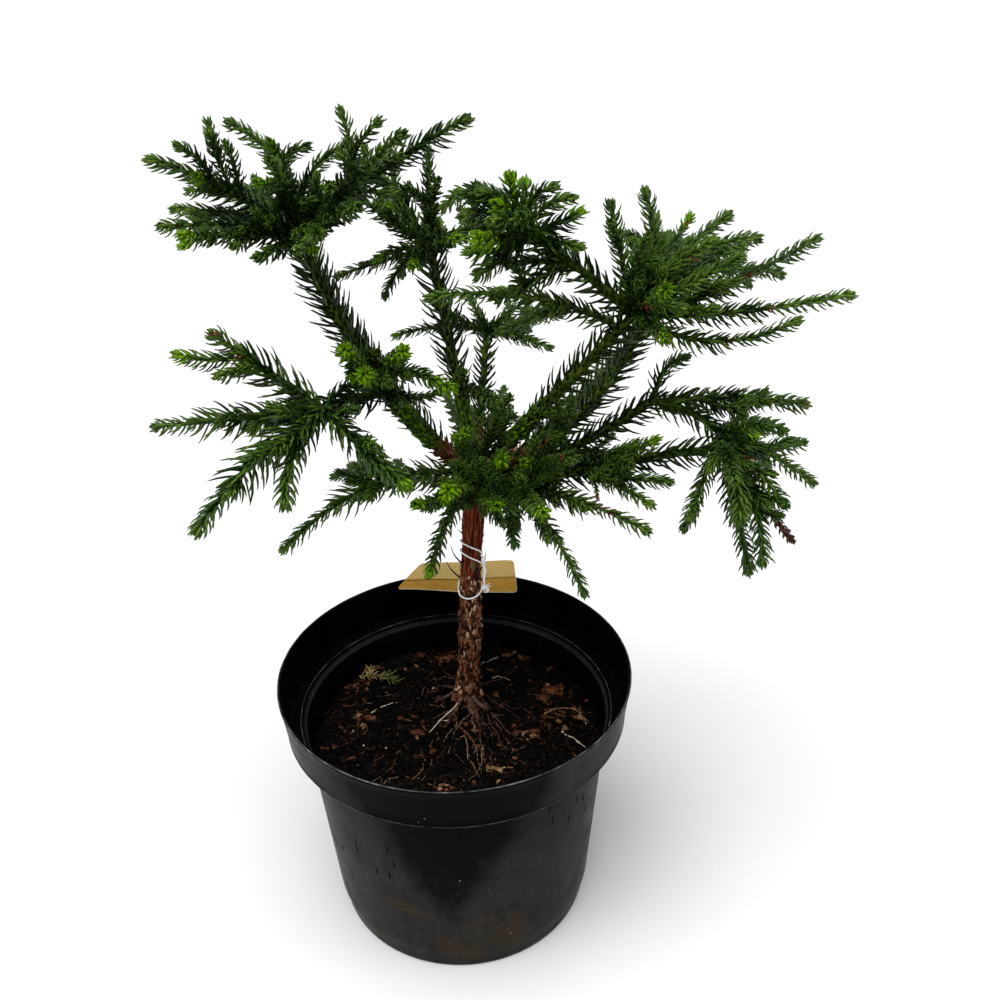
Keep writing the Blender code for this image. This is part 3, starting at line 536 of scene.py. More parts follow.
# where last year's long needles give way to this year's short ones
NECKS = {"ul16": .87, "r7": .58, "r8": .60, "lm4": .72, "lm5": .66, "b5": .72, "r9": .60, "ul1": .62,
         "rl2": .66, "rl9": .60, "rl8": .55, "h1": .55, "ri6": .62, "ri4": .66, "lm1": .70, "ul15": .66, "ul5": .60}
# last year's needles are longest low on the left, mm for a 9 mm shoot
OLD_LONG = {"lm1": 15.0, "lm4": 15.0, "lm5": 15.0, "b5": 15.0}
# masses whose shoots are plumper, and the share of this year's green in each; the high shares low in the crown,
# base_whorl and right_inner, are partly painted light on shoots the crown above shades
FULL = {"left_lower": 1.22, "base_whorl": 1.12, "upper_mid": 1.18, "right_lower": 1.15, "right_inner": 1.08, "left_leader": 1.1}
FRESH_SHARE = {"base_whorl": .97, "right_inner": .66, "left_lower": .48, "right_lower": .46, "right_upper": .44,
               "upper_left": .0, "top_centre": .24, "upper_mid": .18, "middle_long": .45, "left_leader": .5}
# shoots that face forward and open as bright rosettes
STARS = set("ll1 ll2 ll3 ll4 r10 m8 b2 b7 ul18 ri10".split())
# stretches of dead needles: shoot: (from, to, share)
DEAD = {"lm2": (.0, .16, 1.0), "lm1": (.92, .99, .5), "r10": (.34, .50, .9), "r4": (.44, .53, .6),
        "rl6": (.28, .42, .7), "rl7": (.62, 1.0, 1.0), "r7": (.56, .62, .5), "r8": (.57, .63, .5), "r9": (.53, .59, .5),
        "r5": (.30, .62, .10), "ri4": (.70, .78, .6), "ri10": (.82, .90, .6),
        "r3": (.84, .91, .8), "ri5": (.84, 1.0, .9)}
# the leaders that rise from the fork, sheathed in brown scales at the foot
SHEATHED = ("left", "right", "centre", "right_second", "back")
# needle sleeves on the boughs: (reach mm, from, to, brown scales up to)
SLEEVES = {"left": (14.5, .05, .97, .19), "centre": (14.0, .05, .97, .10), "right": (13.0, .05, .99, .20),
           "right_second": (12.0, .06, .99, .18), "right_low": (11.0, .06, 1.0, .12), "right_mid": (11.5, .06, 1.0, .10),
           "left_low": (11.5, .04, 1.0, 0), "upper_mid": (11.5, .0, 1.0, 0), "back": (9.0, .06, 1.0, .15),
           "right_elbow": (10.0, .0, 1.0, 0), "rear_left": (12.0, .05, 1.0, .2), "rear_right": (12.0, .05, 1.0, .2),
           "rear_low_right": (10.0, .06, 1.0, .1), "rear_low_left": (10.0, .06, 1.0, .1)}


def trunk_axis(t):
    return TRUNK_FOOT + TRUNK_LEAN * t


LIMBS = {}
for name, (carrier, at, end, arch, _, _) in BOUGHS.items():
    base = trunk_axis(at) if carrier == "trunk" else LIMBS[carrier].at(at)
    LIMBS[name] = Limb(base, np.array(end) * MM - base, arch)

SHOOTS, SHOOT_OF = {}, {}
for mass, (hub_bough, _, rows) in MASSES.items():
    hub = trunk_axis(0.985) if hub_bough == "trunk" else LIMBS[hub_bough].at(1.0)
    for shoot, start, at, heading, rise, length, arch, swing, width in rows:
        base = (hub if start == "hub" else SHOOTS[start].at(at) if start in SHOOTS
                else trunk_axis(at) if start == "trunk" else LIMBS[start].at(at))
        limb = Limb(base, unit(heading, rise) * (length * MM), arch, swing)
        limb.width, limb.mass, limb.name = width, mass, shoot
        SHOOTS[shoot] = limb

# ------------------------------------------------------------------ needles
NEEDLE_CUTS = (0.0, 0.15, 0.40, 0.68, 0.88, 1.0)
NEEDLE_LEAN = (-0.25, 0.0, 0.35, 0.70, 1.0)       # the first step hugs the stem, then a0 bends to a1
NEEDLE_WIDTH = (0.52, 0.60, 0.58, 0.46, 0.28)
NEEDLE_KEEL = (0.10, 0.42, 0.44, 0.36, 0.22)


def needle_block(foot, d, x, y, az, length, width, a0, a1, side):
    """Awl-shaped needles: three-cornered, keeled outside, running down into the stem and curved from a0 to a1."""
    n = len(foot)
    out = x * np.cos(az)[:, None] + y * np.sin(az)[:, None]
    lat = -x * np.sin(az)[:, None] + y * np.cos(az)[:, None]
    m = len(NEEDLE_CUTS) - 1
    verts = np.empty((n, 3 * m + 1, 3))
    c = foot.copy()
    for i in range(m):
        s = NEEDLE_CUTS[i]
        lean = NEEDLE_LEAN[i]
        ang = a0 * 0.35 if lean < 0 else a0 + (a1 - a0) * lean
        nrm = -d * np.sin(ang)[:, None] + out * np.cos(ang)[:, None]
        bend = lat * (side * length * s * s)[:, None]
        w = width * NEEDLE_WIDTH[i]
        k = width * NEEDLE_KEEL[i]
        verts[:, 3 * i] = c + bend + nrm * k[:, None]
        verts[:, 3 * i + 1] = c + bend + lat * w[:, None] - nrm * (0.3 * k)[:, None]
        verts[:, 3 * i + 2] = c + bend - lat * w[:, None] - nrm * (0.3 * k)[:, None]
        way = d * np.cos(ang)[:, None] + out * np.sin(ang)[:, None]
        c = c + way * (length * (NEEDLE_CUTS[i + 1] - s))[:, None]
    verts[:, 3 * m] = c + lat * (side * length)[:, None]
    base = (np.arange(n) * (3 * m + 1))[:, None, None]
    quads = []
    for i in range(m - 1):
        for k in range(3):
            k2 = (k + 1) % 3
            quads.append((3 * i + k, 3 * i + k2, 3 * i + 3 + k2, 3 * i + 3 + k))
    e = 3 * (m - 1)
    tris = [(e, e + 1, 3 * m), (e + 1, e + 2, 3 * m), (e + 2, e, 3 * m), (2, 1, 0)]
    quads = (np.array(quads)[None] + base).reshape(-1, 4)
    tris = (np.array(tris)[None] + base).reshape(-1, 3)
    return verts.reshape(-1, 3), quads, tris


DEEP = {m: Sheaf() for m in MASSES}
FRESH = {m: Sheaf() for m in MASSES}
LIME, DEAD_SHEAF, STRAW_SHEAF, DARK_SHEAF, TWIGS = (Sheaf() for _ in range(5))


def smooth(a, b, v):
    t = np.clip((v - a) / (b - a), 0, 1)
    return t * t * (3 - 2 * t)


def plant_needles(limb, t, stem, length, width, a0, a1, kind, mass, divergence=137.508):
    """kind: 0 deep, 1 fresh, 2 lime, 3 dead, 4 straw, 5 withered, one for each needle."""
    n = len(t)
    if not n:
        return
    d, x, y = frames(limb, t)
    az = np.arange(n) * math.radians(divergence) + rng.normal(0, 0.16, n) + rng.uniform(0, 6.28)
    out = x * np.cos(az)[:, None] + y * np.sin(az)[:, None]
    # needles below the shoot spread wider, those above lie closer
    droop = -out[:, 2]
    a0 = a0 + np.radians(9) * droop + rng.normal(0, np.radians(5), n)
    a1 = a1 + np.radians(9) * droop + rng.normal(0, np.radians(7), n)
    length = length * (1 + 0.08 * droop) * rng.uniform(0.84, 1.14, n)
    width = width * rng.uniform(0.86, 1.16, n)
    side = rng.normal(0, 0.07, n)
    foot = limb.at(t) + out * (stem * 0.80)[:, None]
    for k, sheaf in enumerate((DEEP[mass], FRESH[mass], LIME, DEAD_SHEAF, STRAW_SHEAF, DARK_SHEAF)):
        m = kind == k
        if m.any():
            sheaf.add(*needle_block(foot[m], d[m], x[m], y[m], az[m], length[m] * MM, width[m] * MM,
                                    a0[m], a1[m], side[m]))


def feet(long_mm, per_mm, lo=0.0, hi=1.0):
    """Needle feet along a shoot: per_mm(t) is their density."""
    u = np.linspace(lo, hi, 400)
    dens = per_mm(u) * long_mm
    total = np.concatenate([[0], np.cumsum((dens[1:] + dens[:-1]) / 2 * np.diff(u))])
    n = max(5, int(total[-1]))
    return np.interp((np.arange(n) + rng.uniform(0.2, 0.8, n)) / n * total[-1], total, u)


def grow_shoot(limb, name, mass, width, lime, neck=None):
    long_mm = limb.long / MM
    k = width / 9.0 * FULL.get(mass, 1.0)
    old_long = OLD_LONG.get(name, 11.2)
    r0 = (0.9 + min(0.9, long_mm * 0.008)) * k
    ts = np.linspace(0, 1, 12)
    TWIGS.add(*sweep(limb.at(ts * 0.985), (r0 + (0.75 - r0) * ts) * MM, 7))

    def old_part(t):
        return smooth(neck + 0.02, neck - 0.08, t) if neck is not None else np.zeros_like(t)

    def near_tip(t):
        return smooth(8.0, 1.0, (1 - t) * long_mm)

    t = feet(long_mm, lambda u: 1.42 - (0.42 if old_long > 12 else 0.12) * old_part(u) + 2.2 * near_tip(u))
    mm_left = (1 - t) * long_mm
    before = old_part(t)
    one = smooth(-0.02, 0.14, t) * 0.35 + 0.65
    if neck is None:
        length = (9.0 * k) * one * (1 - 0.14 * smooth(0.4, 0.95, t))
        fresh_from = rng.uniform(0.30, 0.55) + (0.25 if mass in ("upper_left", "top_centre", "upper_mid") else 0.0)
    else:
        after = smooth(neck - 0.02, neck + 0.10, t)
        length = (old_long * k) * one * before + 8.2 * k * (0.60 + 0.40 * after) * (1 - before)
        fresh_from = neck - 0.02
    a0 = np.radians(52 + 3 * before)
    a1 = np.radians(17 + 13 * before)
    # the growing tip closes over, or opens as a rosette
    star = name in STARS
    tip = near_tip(t)
    length = length * (1 - tip) + (7.6 if star else 4.9) * tip * min(1.0, k + 0.1)
    a0 = a0 * (1 - tip) + math.radians(62 if star else 44) * tip
    a1 = a1 * (1 - tip) + math.radians(8 if star else -22) * tip
    stem = (r0 + (0.75 - r0) * t) * MM
    kind = np.where((t > fresh_from) | (rng.uniform(0, 1, len(t)) < FRESH_SHARE.get(mass, 0.34)), 1, 0)
    w = 1.68 + 0.22 * before - 0.12 * tip
    if lime:
        reach = rng.uniform(17, 22) if star else rng.uniform(8, 13)
        kind = np.where((mm_left < reach) & (rng.uniform(0, 1, len(t)) < smooth(reach, reach * 0.45, mm_left) + 0.15), 2, kind)
    if name in DEAD:
        lo, hi, share = DEAD[name]
        gone = (t >= lo) & (t <= hi) & (rng.uniform(0, 1, len(t)) < share)
        kind = np.where(gone, 5 if name == "rl7" else 3, kind)
        length = np.where(gone, length * 0.62, length)
    if name == "rl2":
        kind = np.where(mm_left < 3.5, 4, kind)
    plant_needles(limb, t, stem, length, w * math.sqrt(k), a0, a1, kind, mass)


for shoot, limb in SHOOTS.items():
    grow_shoot(limb, shoot, limb.mass, limb.width, shoot in LIME_TIPS, NECKS.get(shoot))

for mass, (_, sleeved, _) in MASSES.items():
    for bough in sleeved:
        limb = LIMBS[bough]
        reach, lo, hi, brown_to = SLEEVES[bough]
        _, _, _, _, r0, r1 = BOUGHS[bough]
        long_mm = limb.long / MM
        t = feet(long_mm, lambda u: 1.15 + 0.9 * smooth(brown_to, brown_to - 0.04, u) * (brown_to > 0), lo, hi)
        n = len(t)
        stem = (r0 + (r1 - r0) * t) * MM
        rise_in = smooth(lo, lo + 0.12, t)
        young = smooth(lo + 0.20, lo + 0.46, t) if bough in SHEATHED else np.ones(n)
        length = reach * 1.28 * (0.72 + 0.28 * rise_in) * (0.26 + 0.74 * young)
        kind = np.where(rng.uniform(0, 1, n) < 0.10 + 0.85 * (1 - young), 1, 0)
        brown = (t < brown_to) & (rng.uniform(0, 1, n) < 0.80)
        kind = np.where(brown, 3, kind)
        length = np.where(brown, 6.0, length)
        plant_needles(limb, t, stem, length, np.full(n, 2.1), np.radians(38 + 12 * young), np.radians(20 + 10 * young), kind, mass)
        if bough in ("left", "centre", "right"):
            # scales pressed to the stem, bright, between the brown collar and the first full needles; their lime share,
            # highest on the left leader, is partly the stem's own yellow-green and partly painted light on a foot that
            # the crown above shades
            t = feet(long_mm, lambda u: 2.6 + 0.0 * u, brown_to - 0.01, brown_to + 0.28)
            n = len(t)
            far = (t - brown_to) / 0.28
            kind = np.where(rng.uniform(0, 1, n) < (0.62 if bough == "left" else 0.40) * (1 - far) + 0.04, 2, 1)
            plant_needles(limb, t, (r0 + (r1 - r0) * t) * MM * 1.12, np.full(n, 5.0), np.full(n, 2.5), np.full(n, math.radians(22)),
                          np.full(n, math.radians(10)), kind, mass)

# ------------------------------------------------------------------ the branching rule
# Side sprigs spring from the shoots, only where the crown is already closed
# in the camera's view, so the gaps that show sky stay open.
marks, reach_px = [], []
for limb in list(SHOOTS.values()):
    p, depth = seen(limb.at(np.linspace(0.05, 0.97, 14)))
    marks.append(p)
    reach_px.append(FOCAL * (limb.width * 0.72 * MM) / depth)
for name, limb in LIMBS.items():
    p, depth = seen(limb.at(np.linspace(0.05, 0.97, 18)))
    marks.append(p)
    reach_px.append(FOCAL * (SLEEVES[name][0] * 0.66 * MM) / depth)
marks, reach_px = np.concatenate(marks), np.concatenate(reach_px)


def closed_here(points):
    p, _ = seen(points)
    gap = np.hypot(p[:, None, 0] - marks[None, :, 0], p[:, None, 1] - marks[None, :, 1]) - reach_px[None]
    return bool((gap.min(axis=1) < 0).all())


sprigs = 0
for shoot, limb in list(SHOOTS.items()):
    long_mm = limb.long / MM
    for _ in range(int((long_mm - 26) / 14)):
        t = rng.uniform(0.10, 0.66)
        d, x, y = frames(limb, np.array([t, t]))
        az = rng.uniform(0, 2 * math.pi)
        lean = math.radians(rng.uniform(38, 58))
        out = x[0] * math.cos(az) + y[0] * math.sin(az)
        way = d[0] * math.cos(lean) + out * math.sin(lean) + np.array((0, 0, 0.18))
        long = rng.uniform(15, 27) * MM
        twig = Limb(limb.at(t), norm(way) * long, rng.uniform(-4, 10), rng.uniform(-6, 6))
        if not closed_here(twig.at(np.array([0.45, 0.8, 1.0]))):
            continue
        end = twig.at(1.0)
        if any(end[i] < CAD_BOX[0][i] or end[i] > CAD_BOX[1][i] for i in range(3)):
            continue
        grow_shoot(twig, "", limb.mass, rng.uniform(7, 8.4), rng.uniform() < 0.10)
        sprigs += 1

print("sprigs", sprigs, "needle tris", sum(s.count() for s in [*DEEP.values(), *FRESH.values(), LIME, DEAD_SHEAF,
                                                               STRAW_SHEAF]))
for mass in MASSES:
    DEEP[mass].piece("needles_deep_" + mass, GREEN_DEEP, "needles", ["mass_" + mass])
joined, batch = Sheaf(), 1
for m in MASSES:
    one = FRESH[m]
    if joined.n and joined.count() + one.count() > 180000:
        joined.piece("needles_fresh_%d" % batch, GREEN_FRESH, "needles")
        joined, batch = Sheaf(), batch + 1
    if one.n:
        joined.add(np.concatenate(one.v), np.concatenate(one.q), np.concatenate(one.t))
joined.piece("needles_fresh_%d" % batch, GREEN_FRESH, "needles")
LIME.piece("needles_lime", GREEN_LIME, "needles")
DEAD_SHEAF.piece("needles_dead", DEAD_BROWN, "needles")
STRAW_SHEAF.piece("needles_straw", STRAW, "needles")
DARK_SHEAF.piece("needles_withered", DEAD_DARK, "needles")

# the shape of a lump, used for bark bits, knobs and crumbs

def lump_shape():
    g = (1 + 5 ** 0.5) / 2
    v = np.array([(-1, g, 0), (1, g, 0), (-1, -g, 0), (1, -g, 0), (0, -1, g), (0, 1, g), (0, -1, -g), (0, 1, -g),
                  (g, 0, -1), (g, 0, 1), (-g, 0, -1), (-g, 0, 1)], float)
    v /= np.linalg.norm(v[0])
    f = np.array([(0, 11, 5), (0, 5, 1), (0, 1, 7), (0, 7, 10), (0, 10, 11), (1, 5, 9), (5, 11, 4), (11, 10, 2), (10, 7, 6),
                  (7, 1, 8), (3, 9, 4), (3, 4, 2), (3, 2, 6), (3, 6, 8), (3, 8, 9), (4, 9, 5), (2, 4, 11), (6, 2, 10),
                  (8, 6, 7), (9, 8, 1)])
    return v, f


LUMP_V, LUMP_F = lump_shape()


# ------------------------------------------------------------------ bark
mat_twig, tree, bsdf = new_mat("twig_bark")
v = place_coords(tree)
tree.links.new(ramp(tree, noise_node(tree, v, 300.0, 3.0), [(0.3, (0.016, 0.034, 0.004)), (0.55, (0.032, 0.056, 0.006)),
                                                         (0.75, (0.056, 0.072, 0.010))]), bsdf.inputs["Base Color"])
bsdf.inputs["Roughness"].default_value = 0.7
TWIGS.piece("twigs", mat_twig, "bark")


def bark_mat(name, stops_low, stops_high, z_low, z_high, rough=0.82):
    mat, tree, bsdf = new_mat(name)
    tc = tree.nodes.new("ShaderNodeTexCoord")
    sep = tree.nodes.new("ShaderNodeSeparateXYZ")
    tree.links.new(tc.outputs["Object"], sep.inputs[0])
    mr = tree.nodes.new("ShaderNodeMapRange")
    mr.inputs["From Min"].default_value = z_low
    mr.inputs["From Max"].default_value = z_high
    tree.links.new(sep.outputs["Z"], mr.inputs["Value"])
    flaky = ramp(tree, noise_node(tree, place_coords(tree, (1, 1, 0.55)), 330.0, 4.0, 0.62), stops_low)
    stringy = ramp(tree, noise_node(tree, place_coords(tree, (1, 1, 0.10)), 520.0, 4.0, 0.6), stops_high)
    tree.links.new(mix_rgb(tree, mr.outputs["Result"], flaky, stringy), bsdf.inputs["Base Color"])
    fine = noise_node(tree, place_coords(tree, (1, 1, 0.3)), 900.0, 4.0, 0.65)
    bump(tree, fine, 0.6, 0.0004, bsdf)
    bsdf.inputs["Roughness"].default_value = rough
    bsdf.inputs["IOR"].default_value = 1.2
    bsdf.inputs["Specular IOR Level"].default_value = 0.35
    return mat


BARK = bark_mat("bark_trunk",
                [(0.40, (0.003, 0.001, 0.0006)), (0.47, (0.056, 0.017, 0.007)), (0.57, (0.19, 0.076, 0.037)),
                 (0.68, (0.46, 0.27, 0.17))],
                [(0.34, (0.014, 0.0022, 0.001)), (0.46, (0.072, 0.008, 0.003)), (0.58, (0.165, 0.029, 0.009)),
                 (0.74, (0.36, 0.15, 0.080))], 0.250, 0.275)


GIRTH_AT, GIRTH = (np.array(v) for v in zip(*TRUNK_GIRTH))
BEND_AT, BEND = (np.array(v) for v in zip(*TRUNK_BEND))


def trunk_radius(t, angle):
    # the bark's relief stands a little outside the solid
    r = (sum(np.interp(t + k, GIRTH_AT, GIRTH) for k in (-0.02, 0.0, 0.02)) / 3 - 0.3) * MM
    lobes = 0.5 + 0.5 * math.cos(5 * angle + 0.6)
    flare = FLARE * math.exp(-t / 0.045) * lobes
    return r + flare + 0.00035 * math.sin(3 * angle + 9 * t)


def trunk_centre(t):
    c = trunk_axis(t)
    return np.array((c[0] + sum(np.interp(t + k, BEND_AT, BEND) for k in (-0.03, 0.0, 0.03)) / 3 * MM, c[1], c[2]))


def bark_relief(x, y, z, angle, high):
    """Flaking plates low on the trunk, long strings higher up; high runs 0 to 1."""
    dist, pts = noise.voronoi(Vector((x * 230, y * 230, z * 120)))
    plate = noise.cell(pts[0] * 3.7)
    crease = min(1.0, (dist[1] - dist[0]) * 3.0)
    flaky = (0.10 + 0.85 * plate) * crease * 0.0015 - 0.0011
    ridge = 1 - abs(noise.fractal(Vector((math.cos(angle) * 4.2, math.sin(angle) * 4.2, z * 26)), 0.8, 2.1, 3)) * 2.4
    strings = 0.0014 * ridge - 0.0011
    return flaky * (1 - high) + strings * high


TRUNK_ROWS, TRUNK_SIDES = 250, 100
top_t = 1.0 + TRUNK_TOP_EXTRA / TRUNK_LEAN[2]
sheaf = Sheaf()
verts = []
for i in range(TRUNK_ROWS + 1):
    t = top_t * i / TRUNK_ROWS
    c = trunk_centre(t)
    shrink = 1.0 if t < 0.985 else 1.0 - 0.45 * ((t - 0.985) / (top_t - 0.985)) ** 2
    for k in range(TRUNK_SIDES):
        a = 2 * math.pi * k / TRUNK_SIDES
        r = trunk_radius(t, a) * shrink
        high = min(1.0, max(0.0, (c[2] - 0.250) / 0.028))
        p = (c[0] + r * math.cos(a), c[1] + r * math.sin(a), c[2])
        r += bark_relief(*p, a, high)
        verts.append((c[0] + r * math.cos(a), c[1] + r * math.sin(a), c[2]))
c0, c1 = trunk_centre(0), trunk_centre(top_t)
verts += [tuple(c0), (c1[0], c1[1], c1[2] + 0.001)]
S = TRUNK_SIDES
quads = [(i * S + k, i * S + (k + 1) % S, (i + 1) * S + (k + 1) % S, (i + 1) * S + k)
         for i in range(TRUNK_ROWS) for k in range(S)]
n0 = (TRUNK_ROWS + 1) * S
tris = [((k + 1) % S, k, n0) for k in range(S)] + [(TRUNK_ROWS * S + k, TRUNK_ROWS * S + (k + 1) % S, n0 + 1) for k in range(S)]
sheaf.add(verts, quads, tris)
# surface roots
roots, STUBS = Sheaf(), Sheaf()
for heading, reach, radius in ROOTS:
    start = TRUNK_FOOT + unit(heading, 0) * 0.004 + np.array((0, 0, 0.0065))
    end = TRUNK_FOOT + unit(heading, 0) * (reach * MM) + np.array((0, 0, 0.0006))
    limb = Limb(start, end - start, -4.0, 5.0 if reach > 50 else 0.0)
    n = 40
    ts = np.linspace(0, 1, n)
    pts = limb.at(ts)
    wob = np.array([[noise.noise(Vector((heading * .1, 3.1, s * 9))), noise.noise(Vector((heading * .1, 7.7, s * 9))),
                     0.4 * noise.noise(Vector((heading * .1, 9.9, s * 9)))] for s in ts])
    pts = pts + wob * (0.0032 * np.sin(ts * math.pi))[:, None]
    rad = radius * MM * (0.74 - 0.58 * ts ** 0.6)
    rel = [[1 + 0.16 * noise.noise(Vector((math.cos(b) * 2, math.sin(b) * 2 + heading, s * 16)))
            for b in (2 * math.pi * j / 12 for j in range(12))] for s in ts]
    roots.add(*sweep(pts, rad, 12, relief=np.array(rel)))
    if reach > 50:
        for _ in range(3):
            at = rng.uniform(0.25, 0.8)
            d = limb.way(np.array([at]))[0]
            turn = rng.choice((-1, 1)) * rng.uniform(0.35, 0.8)
            fork = np.array((d[0] * math.cos(turn) - d[1] * math.sin(turn), d[0] * math.sin(turn) + d[1] * math.cos(turn), -0.02))
            side = Limb(limb.at(np.array([at]))[0], fork * rng.uniform(10, 22) * MM, -3, rng.uniform(-12, 12))
            roots.add(*sweep(side.at(np.linspace(0, 1, 12)), np.linspace(0.7, 0.25, 12) * MM, 6))
sheaf.piece("trunk_bark", BARK, "bark", ["trunk"])
ROOT_BARK = bark_mat("bark_root",
                     [(0.36, (0.006, 0.002, 0.0015)), (0.50, (0.034, 0.012, 0.007)), (0.62, (0.085, 0.035, 0.022)),
                      (0.78, (0.24, 0.14, 0.10))], [(0.3, (0.03, 0.01, 0.006)), (0.7, (0.1, 0.04, 0.02))], 0.250, 0.275, 0.42)
ROOT_BARK.node_tree.nodes["Principled BSDF"].inputs["IOR"].default_value = 1.4
ROOT_BARK.node_tree.nodes["Principled BSDF"].inputs["Specular IOR Level"].default_value = 0.4
roots.piece("surface_roots", ROOT_BARK, "bark")


def on_trunk(a, z, lift):
    t = (z - SOIL_CROWN) / TRUNK_LEAN[2]
    c = trunk_centre(t)
    r = trunk_radius(t, a) + lift
    return np.array((c[0] + r * math.cos(a), c[1] + r * math.sin(a), z))


def bark_flake(sheaf, angle, z, long, wide, thick, lift, curl, slant=0.0, ragged=0.3, nv=7, nu=4, oval=2.5):
    """A scale of bark that follows the trunk; curl lifts its upper (+) or lower (-) end off it."""
    seed = rng.uniform(0, 90)
    layers = []
    for top in (1, 0):
        for j in range(nv + 1):
            q = j / nv - 0.5
            w = wide * max(0.10, (1 - abs(2 * q) ** oval)) ** 0.5
            w_l = w * (1 + ragged * noise.noise(Vector((seed, q * 7, 1.0))))
            w_r = w * (1 + ragged * noise.noise(Vector((seed, q * 7, 5.0))))
            for i in range(nu + 1):
                u = i / nu - 0.5
                across = u * (w_l if u < 0 else w_r)
                up = max(0.0, 2 * q * (1 if curl > 0 else -1))
                off = lift + abs(curl) * up * up - 0.25 * thick * (2 * u) ** 2 + (thick if top else 0.0)
                layers.append(on_trunk(angle + (across + slant * q * long) / 0.0084, z + q * long, off))
    m = (nv + 1) * (nu + 1)
    w1 = nu + 1
    quads = []
    for j in range(nv):
        for i in range(nu):
            a = j * w1 + i
            quads += [(a, a + 1, a + w1 + 1, a + w1), (m + a, m + a + w1, m + a + w1 + 1, m + a + 1)]
    for i in range(nu):
        quads.append((i + 1, i, m + i, m + i + 1))
        a = nv * w1 + i
        quads.append((a, a + 1, m + a + 1, m + a))
    for j in range(nv):
        a = j * w1
        quads.append((a, a + w1, m + a + w1, m + a))
        a = j * w1 + nu
        quads.append((a + w1, a, m + a, m + a + w1))
    sheaf.add(np.array(layers), quads)


strip_red, strip_dark, strip_tan_highlight, plate_grey_and_glint, plate_brown, plate_dark = (Sheaf() for _ in range(6))
# every fourth strip is a thin tan one, a painted highlight along the stringy bark
for k in range(200):
    a, z = rng.uniform(-math.pi, math.pi), rng.uniform(0.256, 0.346)
    long = min(rng.uniform(9, 30) * MM, 2 * (0.349 - z) + 0.004)
    bark_flake((strip_red, strip_red, strip_dark, strip_tan_highlight)[k % 4], a, z, long, rng.uniform(0.7, 2.3) * MM * (0.5 if k % 4 == 3 else 1),
               0.3 * MM, rng.uniform(-0.5, 0.25) * MM, rng.choice((-1, 1)) * rng.choice((0.1, 0.5, 1.5), p=(.5, .35, .15)) * MM,
               rng.normal(0, 0.05))
# a sixth of the plates are pale grey: partly the bark's grey weathering, partly painted glints on the flakes
for k in range(640):
    a, z = rng.uniform(-math.pi, math.pi), 0.158 + 0.102 * rng.uniform(0, 1)
    bark_flake((plate_grey_and_glint, plate_brown, plate_dark, plate_brown, plate_dark, plate_brown)[k % 6], a, z, rng.uniform(2.0, 6.4) * MM,
               rng.uniform(0.9, 2.9) * MM, 0.35 * MM, rng.uniform(-0.6, 0.15) * MM,
               rng.choice((-1, 1)) * rng.uniform(0.1, 1.0) * MM, rng.normal(0, 0.25), 0.85, oval=1.5)
# the knobbly ring below the tie
for k in range(46):
    a, z = rng.uniform(-math.pi, math.pi), rng.uniform(0.245, 0.263)
    c = on_trunk(a, z, -0.0002)
    v = LUMP_V * rng.uniform(0.7, 1.25, (12, 1)) * rng.uniform(0.6, 1.5) * MM
    (plate_dark if k % 3 else plate_grey_and_glint).add(v + c, (), LUMP_F)
scar = Sheaf()
bark_flake(scar, math.radians(-82), 0.2722, 9.5 * MM, 4.6 * MM, 0.7 * MM, -0.1 * MM, 0.1 * MM, 0.03, 0.1, 12, 8, 2.0)
bark_flake(strip_dark, math.radians(-50), 0.2660, 8 * MM, 2.5 * MM, 0.9 * MM, 0, 0.5 * MM)


def flake_mat(name, a, b, c, rough=0.6):
    mat, tree, bsdf = new_mat(name)
    tree.links.new(ramp(tree, noise_node(tree, place_coords(tree, (1, 1, 0.2)), 700.0, 4.0, 0.62), [(0.34, a), (0.5, b), (0.68, c)]),
                   bsdf.inputs["Base Color"])
    bump(tree, noise_node(tree, place_coords(tree, (1, 1, 0.15)), 1400.0, 3.0), 0.5, 0.0003, bsdf)
    bsdf.inputs["Roughness"].default_value = rough
    bsdf.inputs["IOR"].default_value = 1.2
    bsdf.inputs["Specular IOR Level"].default_value = 0.35
    return mat


strip_red.piece("bark_strips_red", flake_mat("strip_red", (0.062, 0.005, 0.0016), (0.160, 0.019, 0.0052), (0.29, 0.064, 0.022)), "bark")
strip_dark.piece("bark_strips_dark", flake_mat("strip_dark", (0.010, 0.002, 0.0015), (0.034, 0.007, 0.004), (0.08, 0.022, 0.012)), "bark")
strip_tan_highlight.piece("bark_strips_tan_highlight", flake_mat("strip_tan_highlight", (0.11, 0.024, 0.008), (0.24, 0.072, 0.026), (0.44, 0.19, 0.085)), "bark")
plate_grey_and_glint.piece("bark_plates_grey_and_glint", flake_mat("plate_grey_and_glint", (0.13, 0.064, 0.036), (0.38, 0.23, 0.145), (0.85, 0.66, 0.49)), "bark")
plate_brown.piece("bark_plates_brown", flake_mat("plate_brown", (0.058, 0.017, 0.007), (0.190, 0.066, 0.028), (0.44, 0.20, 0.10)), "bark")
plate_dark.piece("bark_plates_dark", flake_mat("plate_dark", (0.004, 0.0015, 0.001), (0.022, 0.007, 0.003), (0.080, 0.028, 0.015)), "bark")
scar.piece("branch_scar", flake_mat("scar", (0.050, 0.042, 0.014), (0.11, 0.095, 0.034), (0.20, 0.18, 0.08), 0.8), "bark")
